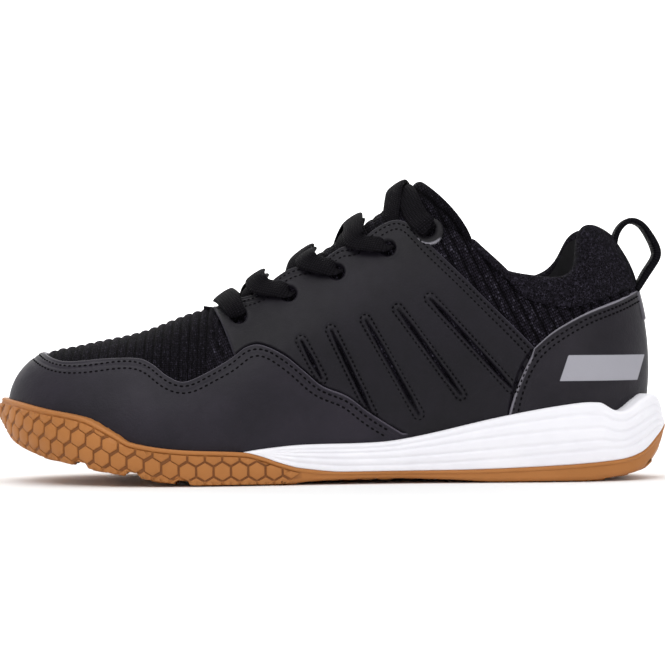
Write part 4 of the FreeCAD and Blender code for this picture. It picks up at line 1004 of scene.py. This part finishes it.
def build_lace():
    """Straight bar at the first eyelets, then crossings from under one eyestay over the tongue and
    into the next eyelet of the other side. Each run ends just inside the upper."""
    width = 9.2
    runs, weaves = [], []

    def lay(path, widths):
        (points, faces), weave = ribbon(np.array(path), widths)
        runs.append((points, faces))
        weaves.append(weave)

    def spot(row, side):
        q, up = find_on_side(*EYELETS[row], side)
        return q, form(q, up), form_normal(q, up)
    above = SKIN_FAR + 0.85
    under = LINING + 1.7
    rise = np.array([0, 0, 1.0])
    (q0, a, na), (q1, b, nb) = spot(0, 1), spot(0, -1)
    ahead = np.array([2.5, 0, 0])
    rim0, rim1 = moved(q0, 0.97, 2.6), moved(q1, 0.97, 2.6)
    lay([a - na * 2.5, a + na * above, rim0 + ahead, crest_point(42, 3.4), rim1 + ahead,
         b + nb * above, b - nb * 2.5], [5, 7, width, width + 0.6, width, 7, 5])
    for row in range(4):
        for side in (1, -1):
            q0, start, n0 = spot(row, -side)
            q1, end, n1 = spot(row + 1, side)
            over = (side > 0) == (row % 2 == 0)
            toeward = q1 - side * (0.15 if row == 3 else 0.6)
            edge0, edge1 = form(q0, 1.0), form(toeward, 1.0)
            m0, m1 = form_normal(q0, 0.98), form_normal(toeward, 0.98)
            crest = crest_point(0.5 * start[0] + 0.5 * end[0] + 2, 4.4 if over else 1.9)
            pad = 1.2 if row == 3 else 0.0
            lay([start - n0 * (under - 1),
                 start + (edge0 - start) * 0.5 - m0 * (under - 0.6),
                 edge0 + (crest - edge0) * 0.14 - m0 * 2.2,
                 edge0 + (crest - edge0) * 0.55 + rise * 1.4,
                 crest,
                 edge1 + (crest - edge1) * 0.5 + m1 * (above + 1.0) + rise,
                 edge1 + m1 * (above + 0.9),
                 end + (edge1 - end) * 0.5 + n1 * (above + 0.5 + pad),
                 end + (edge1 - end) * 0.12 + n1 * (above - 0.2 + pad),
                 end - n1 * 1.2,
                 end - n1 * 3.5], [5, 6] + [width] * 6 + [7.4, 5.6, 4.5])
    points, faces = joined(runs)
    piece = put("lace_ribbons", points, faces, lace_weave, body=None, weld=0.002,
                cloth=np.concatenate(weaves))
    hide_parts("shoelace")
    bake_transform(piece)


# ------------------------------------------------------------------ round pads and pull loop
def build_eyelet_pads():
    """Round pads at the top eyelets: a low disc turned about the eyelet's axis, with a painted
    highlight on the lower part of its rim.
    """
    for side, half in SIDES:
        q, up = find_on_side(*EYELETS[-1], side)
        base, N = form(q, up), form_normal(q, up)
        A = unit(np.cross(N, np.array([0.0, 0.0, 1.0])))
        B = np.cross(N, A)
        turn = np.linspace(0, math.tau, 49)[:-1]
        profile = np.array([(2.3, -0.4), (2.3, 0.9), (2.7, 1.35), (4.9, 1.5), (5.5, 1.35),
                            (5.8, 0.9), (5.8, -0.4)])
        around = np.cos(turn)[:, None, None] * A + np.sin(turn)[:, None, None] * B
        sections = base + profile[None, :, :1] * around + profile[None, :, 1:] * N
        points, faces = tube(sections, closed=True)
        # Painted highlight: the outer rim is pale only on its lower part, where light catches it.
        pale = np.tile(np.where(profile[:, 0] > 5.4, 1.0, 0.0), len(turn))
        low = ease(-((points - base)[:, 2] + 1.8) / 2)
        piece = put("round_pad_" + half, points, faces, pad_skin, edge=pale * low)
        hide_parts("top_eyelet_" + half)


LOOP_LINE = [(-113.6, 90.5), (-114.2, 95.6), (-116.0, 100.2), (-120.6, 103.4), (-124.4, 102.2),
             (-127.6, 98.4), (-130.2, 93.6), (-131.0, 89.6), (-129.6, 86.4), (-126.8, 82.2),
             (-124.4, 78.2), (-122.4, 75.0)]


def build_pull_loop():
    """Webbing loop: a flat rounded section 12 mm wide, swelling from 2.4 to 3.4 mm thick where it
    is folded double behind, carried along the loop line."""
    knots, value = spline(LOOP_LINE)
    t = np.linspace(0, knots[-1], 110)
    P = value(t)
    T = unit(np.gradient(P, axis=0))
    N = np.stack([-T[:, 1], T[:, 0]], 1)
    flat, full = flat_section(36, 0.35, 0.6)
    flat = flat * 6
    end = rounded(np.minimum(t, knots[-1] - t), 0.6)
    share = t / knots[-1]
    half = 1.2 + 0.5 * ease((share - 0.35) / 0.3) - 0.3 * ease((share - 0.8) / 0.2)
    lift = full[None] * end[:, None] * half[:, None]
    sections = np.stack([P[:, :1] + N[:, :1] * lift, flat[None] * end[:, None] + 0 * lift,
                         P[:, 1:] + N[:, 1:] * lift], -1)
    weave = np.stack([t[:, None] + 0 * lift, flat[None] + 0 * lift, lift], -1)
    points, faces = tube(sections[:, ::-1])
    piece = put("webbing_loop", points, faces, webbing_weave, weld=0.002,
                cloth=weave[:, ::-1].reshape(-1, 3))
    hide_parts("pull_loop")


# ------------------------------------------------------------------ sole
PLAN = [(134, -5), (131, 5), (125, 17), (113, 31), (97, 42), (76, 48.6), (55, 48.8), (30, 45.5),
        (0, 39.8), (-30, 36), (-60, 35), (-85, 34.4), (-105, 31.2), (-120, 24), (-129.5, 13),
        (-134, 0), (-129.5, -13), (-120, -24), (-105, -31), (-85, -34), (-60, -33.4), (-30, -33),
        (0, -36), (30, -43), (55, -47.6), (76, -48.8), (97, -45), (113, -36.5), (125, -25.5),
        (131, -15.5)]
sole_bottom = height_curve([(140, 30), (133.5, 22.8), (127.6, 15.9), (114.8, 10.9), (97.8, 7.1),
                            (78, 3.5), (66, 1.5), (56, 0), (22, 0), (4, 1.2), (-20, 1.7), (-45, 1),
                            (-64, 0), (-98, 0), (-113, 1.6), (-122, 3.6), (-130.5, 11), (-134, 18),
                            (-140, 34)], flat=True)
gum_top = height_curve([(140, 34.5), (129.6, 33), (114.8, 30), (97.8, 26.9), (85.8, 21.2),
                        (77.8, 17), (58.5, 14.2), (34, 13), (27.8, 11.5), (20, 8.7), (12.4, 6.7),
                        (-5, 5), (-46, 5.2), (-85, 6.5), (-113.2, 8.6), (-122, 11), (-130.5, 18),
                        (-134, 22), (-140, 33)], flat=True)
foam_top = height_curve([(34, 13), (27.8, 14), (12.4, 15.5), (-18.7, 16.3), (-34, 18.6),
                         (-65.5, 25.7), (-89, 29.9), (-104.9, 31), (-111, 28), (-116, 27.9),
                         (-123, 32), (-127.5, 34), (-130.5, 32), (-132.4, 26.5), (-134, 23.6)])
floor_height = height_curve([(140, 25.5), (130, 25), (124, 23.6), (113, 19.3), (97, 14.8),
                             (76, 10.8), (55, 9.3), (37, 9.6), (20, 10.3), (2, 11.1), (-15, 12.3),
                             (-34, 14.3), (-50, 16.3), (-67, 18.4), (-84, 20.2), (-100, 21.6),
                             (-113, 22.2), (-140, 22.4)])
FLEX_GROOVES = (98, 77, 58)      # x of the cross grooves under the forefoot


def plan_outline(steps=12000):
    """The sole's outline in steps of about 0.05 mm: arc length, points and outward normals, which
    point away from the middle of the shoe at the heel."""
    knots, value = spline(PLAN, closed=True)
    P = value(np.linspace(0, knots[-1], steps + 1))
    T = unit(np.gradient(P, axis=0))
    T[0] = T[-1] = unit(T[0] + T[-1])
    N = np.stack([T[:, 1], -T[:, 0]], 1)
    heel = P[:, 0].argmin()
    return reach_along(P), P, N * np.sign((N[heel] * P[heel]).sum())


OUT_REACH, OUT_POINTS, OUT_NORMALS = plan_outline()
GIRTH = OUT_REACH[-1]


def outline(s):
    """Point and outward normal of the sole's outline at arc length s, which may wrap round."""
    s = np.mod(s, GIRTH)
    return at_reach(s, OUT_REACH, OUT_POINTS), unit(at_reach(s, OUT_REACH, OUT_NORMALS))


def wall_low(x):
    """Lower edge of the sole wall, with the cross grooves of the forefoot cut up into it."""
    notch = sum(1.8 * ease((3.3 - np.abs(x - at)) / 1.3) for at in FLEX_GROOVES)
    return sole_bottom(x) + notch


def wall_point(s, z, lift):
    """Point on the sole's wall at arc length s and height z, lift mm out of the plan outline."""
    point, normal = outline(s)
    flat = point + normal * np.asarray(lift)[..., None]
    return np.concatenate([flat, (z + 0 * flat[..., 0])[..., None]], -1)


def toe_round(s, z):
    """Extra bulge of the wall at the toe bumper: a half sine over its height, fading behind it."""
    x = outline(s)[0][..., 0]
    low, top = sole_bottom(x), gum_top(x)
    share = np.clip((z - low) / np.maximum(top - low, 1), 0, 1)
    return 1.3 * np.sin(math.pi * share) * ease((x - 60) / 60)


def nearest_ring(points, heights):
    """For each outline point, the upper's outer face at the sole's top edge nearest to it."""
    q = np.linspace(0, RIB_COUNT, 1401)[:-1]
    up = np.maximum(rise_at(q, heights), 0.01)
    R = moved(q, up, 0 * q + 1.0)
    gap = ((points[:, None] - R[None, :, :2]) ** 2).sum(-1)
    return R[gap.argmin(1)]


def build_outsole():
    """Gum cup: each column runs from the spine of the underside out to the wall, up it, over the
    lip, in to the upper and back along the floor; columns follow the plan outline."""
    s = np.linspace(0, GIRTH, 901)[:-1]
    point, normal = outline(s)
    x = point[:, 0]
    spine = np.stack([np.clip(x, -98, 98), 0 * x - 2], 1)
    low, top = wall_low(x), gum_top(x)
    ring = nearest_ring(point, gum_top)
    rows = []
    for share in np.linspace(0, 1, 15):
        flat = spine + (point - normal * 2.2 - spine) * share
        rows.append(np.concatenate([flat, (wall_low(flat[:, 0]) + 0.45)[:, None]], 1))
    height = np.maximum(top - low, 0.8)
    for turn in np.radians([25, 50, 75]):
        rows.append(wall_point(s, low + 0.45 + 1.8 * (1 - np.cos(turn)) * np.minimum(1, height / 6),
                               -2.2 + 1.75 * np.sin(turn) + 0 * x))
    lip = np.minimum(1.6, height * 0.35)
    start = low + 2.25 * np.minimum(1, height / 6)
    wall_from = len(rows)
    for share in np.linspace(0, 1, 9):
        z = start + (top - lip - start) * share
        rows.append(wall_point(s, z, -0.45 + toe_round(s, z)))
    wall_to = len(rows)
    for share, lift in ((0.04, -0.1), (0.25, 0.08), (0.5, 0.12), (0.75, 0), (0.92, -0.3), (1, -0.8)):
        rows.append(wall_point(s, top - lip + lip * share, lift + 0 * x))
    inner = ring[:, :2]
    edge = point - normal * 0.9
    for share in (0.3, 0.7, 1.0):
        flat = edge + (inner - edge) * share
        rows.append(np.concatenate([flat, top[:, None] - 0.15 * share], 1))
    inward = inner - normal * 1.5
    rows.append(np.concatenate([inward, (top - 2)[:, None]], 1))
    floor_z = np.maximum(floor_height(x) - 0.5, low + 1.2)
    floor_z = np.minimum(floor_z, top - 0.5)
    rows.append(np.concatenate([inward, floor_z[:, None]], 1))
    for share in np.linspace(1, 0, 7)[1:]:
        flat = spine + (inward - spine) * share
        level = np.maximum(np.minimum(floor_height(flat[:, 0]) - 0.5, gum_top(flat[:, 0]) - 0.5),
                           wall_low(flat[:, 0]) + 1.2)
        rows.append(np.concatenate([flat, level[:, None]], 1))
    sections = np.stack(rows, 1)
    index = np.arange(sections.shape[0] * sections.shape[1]).reshape(sections.shape[:2])
    index = np.vstack([index, index[:1]])
    level = sections[..., 2]
    # Painted shade: the tall forefoot wall behind the honeycomb pads is darkened through the edge
    # channel, so the grooves between the pads look shaded.
    wall = np.zeros(len(rows))
    wall[wall_from:wall_to] = 1
    front = (x > 12)[:, None] & (level < (top - lip - 0.2)[:, None])
    groove = wall[None] * front * ease((height - 5) / 3)[:, None]
    piece = put("gum_cup", sections.reshape(-1, 3), grid_faces(index), gum_rubber, weld=0.002,
                edge=groove.ravel())
    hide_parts("outsole")


HEX = 6.7                # width of a pad and its share of the groove, across flats


def hex_template():
    """One pad: rings of 12 points on a hexagon, from the middle out over a bevel and down."""
    turn = np.arange(12) * math.tau / 12 + math.pi / 6
    apothem = np.cos(math.pi / 6) / np.cos(np.mod(turn - math.pi / 6, math.pi / 3) - math.pi / 6)
    outer = HEX / 2 / math.cos(math.pi / 6)
    rings = [(0.0, 0.55), (0.5, 0.55), (outer - 0.85, 0.55), (outer - 0.5, 0.4), (outer - 0.42, -0.3)]
    a = np.stack([r * apothem * np.cos(turn) for r, _ in rings])
    b = np.stack([r * apothem * np.sin(turn) for r, _ in rings])
    h = np.stack([h + 0 * turn for _, h in rings])
    return a, b, h


def pad_faces(count):
    """Faces of count pads with 5 rings of 12 points each."""
    index = np.arange(count * 60).reshape(count, 5, 12)
    index = np.concatenate([index, index[:, :, :1]], 2)
    return quads(index[:, :-1, :-1], index[:, 1:, :-1], index[:, 1:, 1:], index[:, :-1, 1:])


def hex_centres(width, height):
    """Centres of a honeycomb over a width by height field, points up."""
    rise = HEX * math.cos(math.pi / 6)
    a, b = np.meshgrid(np.arange(0, width, HEX), np.arange(0, height, rise), indexing="ij")
    row = np.arange(b.shape[1])[None]
    return (a + np.where(row % 2, HEX / 2, 0)).ravel(), b.ravel()


def build_wall_pads():
    """Honeycomb pads on the wall of the forefoot, trimmed by the lip above and the edge below."""
    a, b, h = hex_template()
    count = round(GIRTH / HEX)
    stretch = GIRTH / (count * HEX)
    ca, cb = hex_centres(count * HEX - 0.1, 34)
    ca = ca * stretch
    x = outline(ca)[0][:, 0]
    room = gum_top(x) - sole_bottom(x)
    keep = (x > 14) & (cb < room + 1.5)
    ca, cb, x = ca[keep], cb[keep], x[keep]
    s = ca[:, None, None] + a
    xs = outline(s)[0][..., 0]
    low = wall_low(xs) + 0.7
    high = gum_top(xs) - 2.0
    z = sole_bottom(x)[:, None, None] + cb[:, None, None] + b
    z = np.clip(z, low, np.maximum(high, low))
    tall = (z.max((1, 2)) - z.min((1, 2))) > 0.9
    s, z = s[tall], z[tall]
    lift = -0.45 + h + 0 * s
    drop = np.clip((2.4 - (z - wall_low(outline(s)[0][..., 0]))) / 2.4, 0, 1)
    P = wall_point(s, z, lift - 1.2 * drop ** 2 + toe_round(s, z))
    return P.reshape(-1, 3), pad_faces(len(P))[:, ::-1]


def build_tread_pads():
    """Honeycomb pads over the underside, left out where they would cross the edge or a groove."""
    a, b, h = hex_template()
    ca, cb = hex_centres(270, 100)
    cx, cy = ca - 134, cb - 50
    knots, value = spline(PLAN, closed=True)
    ring = value(np.linspace(0, knots[-1], 400))
    keep = np.abs(cx) < 124
    for side, _ in SIDES:
        rim = ring[ring[:, 1] * side > 0]
        rim = rim[np.argsort(rim[:, 0])]
        keep &= side * cy < side * np.interp(cx, rim[:, 0], rim[:, 1]) - 5.5
    for at in FLEX_GROOVES:
        keep &= np.abs(cx - at) > 5.2
    cx, cy = cx[keep], cy[keep]
    X = cx[:, None, None] + a
    Y = cy[:, None, None] + b
    Z = sole_bottom(X) + 0.5 - h
    P = np.stack([X, Y, Z], -1)
    return P.reshape(-1, 3), pad_faces(len(P))[:, ::-1]


def build_midsole():
    """White foam wedge: ring section from the gum strip up the wall, in to the upper and back; the
    wall has long flowing grooves."""
    behind_tip = OUT_POINTS[:, 0] < 34
    s0 = OUT_REACH[np.argmax(behind_tip & (OUT_POINTS[:, 1] > 0))]
    s1 = OUT_REACH[np.argmax((OUT_REACH > GIRTH / 2) & (OUT_POINTS[:, 0] > 34))]
    s = np.linspace(s0, s1, 760)
    point, normal = outline(s)
    x = point[:, 0]
    low, top = gum_top(x), np.maximum(foam_top(x), gum_top(x) + 0.02)
    ring = nearest_ring(point, foam_top)[:, :2]
    height = top - low
    grooves = ((0.22, 0.03, 0.0), (0.42, 0.05, 1.1), (0.62, 0.05, 2.0), (0.80, 0.03, 2.9))
    rows = []
    for share in np.linspace(0, 1, 44):
        z = low + height * share
        lift = 0 * x
        for at, sway, phase in grooves:
            line = at + sway * np.sin(x / 34 + phase)
            lift = lift - 0.55 * bell(share * height, line * height, 0.5)
        lift = lift * ease((height - 3) / 4) + 0.5 * np.sin(math.pi * share) * ease(height / 14)
        lift = lift - 1.0 * (1 - rounded((1 - share) * height, 1.6))
        lift = lift - 0.3 * (1 - rounded(share * height, 0.6))
        rows.append(wall_point(s, z, lift))
    edge = point - normal * 1.0
    for share in (0.15, 0.5, 1.0):
        flat = edge + (ring - edge) * share
        rows.append(np.concatenate([flat, top[:, None]], 1))
    for level in (top - np.minimum(height * 0.5, 3), low):
        rows.append(np.concatenate([ring - normal * 2, level[:, None]], 1))
    points, faces = tube(np.stack(rows, 1))
    piece = put("foam_wedge", points, faces, white_foam, weld=0.002)
    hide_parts("midsole")


# ------------------------------------------------------------------ build
build_outsole()
pads = joined([build_wall_pads(), build_tread_pads()])
tread = put("honeycomb_pads", *pads, gum_rubber, weld=0.002)
build_midsole()
build_vamp()
for side, half in SIDES:
    build_quarter_knit(side, half)
build_mudguard()
for side, half in SIDES:
    build_quarter(side, half)
build_counter()
build_heel_patch()
build_linings()
build_collar()
build_tongue()
build_lace()
build_eyelet_pads()
build_pull_loop()

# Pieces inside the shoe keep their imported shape
KEPT = {"insole_board": fibre_board, "sockliner_foam": dark_foam, "sockliner_cover": lining_cloth,
        "toe_puff": stiff_sheet, "heel_counter_stiffener": stiff_sheet, "collar_foam": dark_foam,
        "eyestay_reinforcement_lateral": fibre_board, "eyestay_reinforcement_medial": fibre_board,
        "vamp_lining": lining_cloth, "lace_aglets": tip_plastic}
for node, material in KEPT.items():
    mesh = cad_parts[node].data
    mesh.materials.clear()
    mesh.materials.append(material)


# ------------------------------------------------------------------ floor, light, camera
# Matt studio paper: nearly white, with a faint tooth
studio_paper = moulded("white_studio_paper", "#f6f6f6", "#f6f6f6", 0.9, 8.0, 400.0, 0.01)


def build_stage():
    """Pale floor that bends up into a backdrop: straight, quarter circle, straight."""
    across = np.linspace(-6000, 6000, 9)
    turn = np.linspace(0, math.pi / 2, 14)
    depth = np.concatenate([[4000, 1500], -1600 - 900 * np.sin(turn), [-2500]])
    height = np.concatenate([[0, 0], 900 - 900 * np.cos(turn), [6000]])
    P = np.stack([across[:, None] + 0 * depth, depth[None] + 0 * across[:, None],
                  height[None] + 0 * across[:, None]], -1)
    index = np.arange(P.shape[0] * P.shape[1]).reshape(P.shape[:2])
    stage = put("floor_and_backdrop", P.reshape(-1, 3), grid_faces(index)[:, ::-1], studio_paper,
                body=None)


def soft_light(name, place, aim, wide, high, power):
    """Rectangular soft box at a place, turned to a point."""
    light = bpy.data.lights.new(name, "AREA")
    light.shape = "RECTANGLE"
    light.size, light.size_y, light.energy = wide, high, power
    lamp = bpy.data.objects.new(name, light)
    bpy.context.scene.collection.objects.link(lamp)
    lamp.location = place
    lamp.rotation_euler = (Vector(place) - Vector(aim)).to_track_quat("Z", "Y").to_euler()


build_stage()
soft_light("key_box", (0.5, 1.1, 1.3), (0, 0, 0.04), 1.2, 0.9, 9)
soft_light("fill_box", (-0.9, 1.0, 0.7), (0, 0, 0.05), 1.0, 1.0, 3)
soft_light("top_box", (0, -0.1, 1.6), (0, 0, 0.05), 1.6, 1.2, 9)
soft_light("back_box", (0, -1.2, 0.9), (0, 0, 0.05), 1.4, 0.8, 3)
soft_light("backdrop_box", (0, -0.9, 1.5), (0, -2.5, 0.9), 3.0, 1.0, 60)
world = bpy.data.worlds.new("studio")
world.use_nodes = True
sky = world.node_tree.nodes["Background"]
sky.inputs[0].default_value = (1, 1, 1, 1)
sky.inputs[1].default_value = 0.62
bpy.context.scene.world = world
bpy.context.scene.view_settings.view_transform = "Standard"

camera = bpy.data.objects.new("camera", bpy.data.cameras.new("camera"))
bpy.context.scene.collection.objects.link(camera)
camera.data.sensor_width, camera.data.lens = 36, 134.0
camera.data.clip_start, camera.data.clip_end = 0.05, 20
camera.location = (-0.0002, 1.0, 0.0591)
level = Euler((math.radians(90), 0, math.radians(180))).to_matrix()
camera.rotation_euler = (level @ Matrix.Rotation(math.radians(-0.37), 3, "Z")).to_euler()
bpy.context.scene.camera = camera
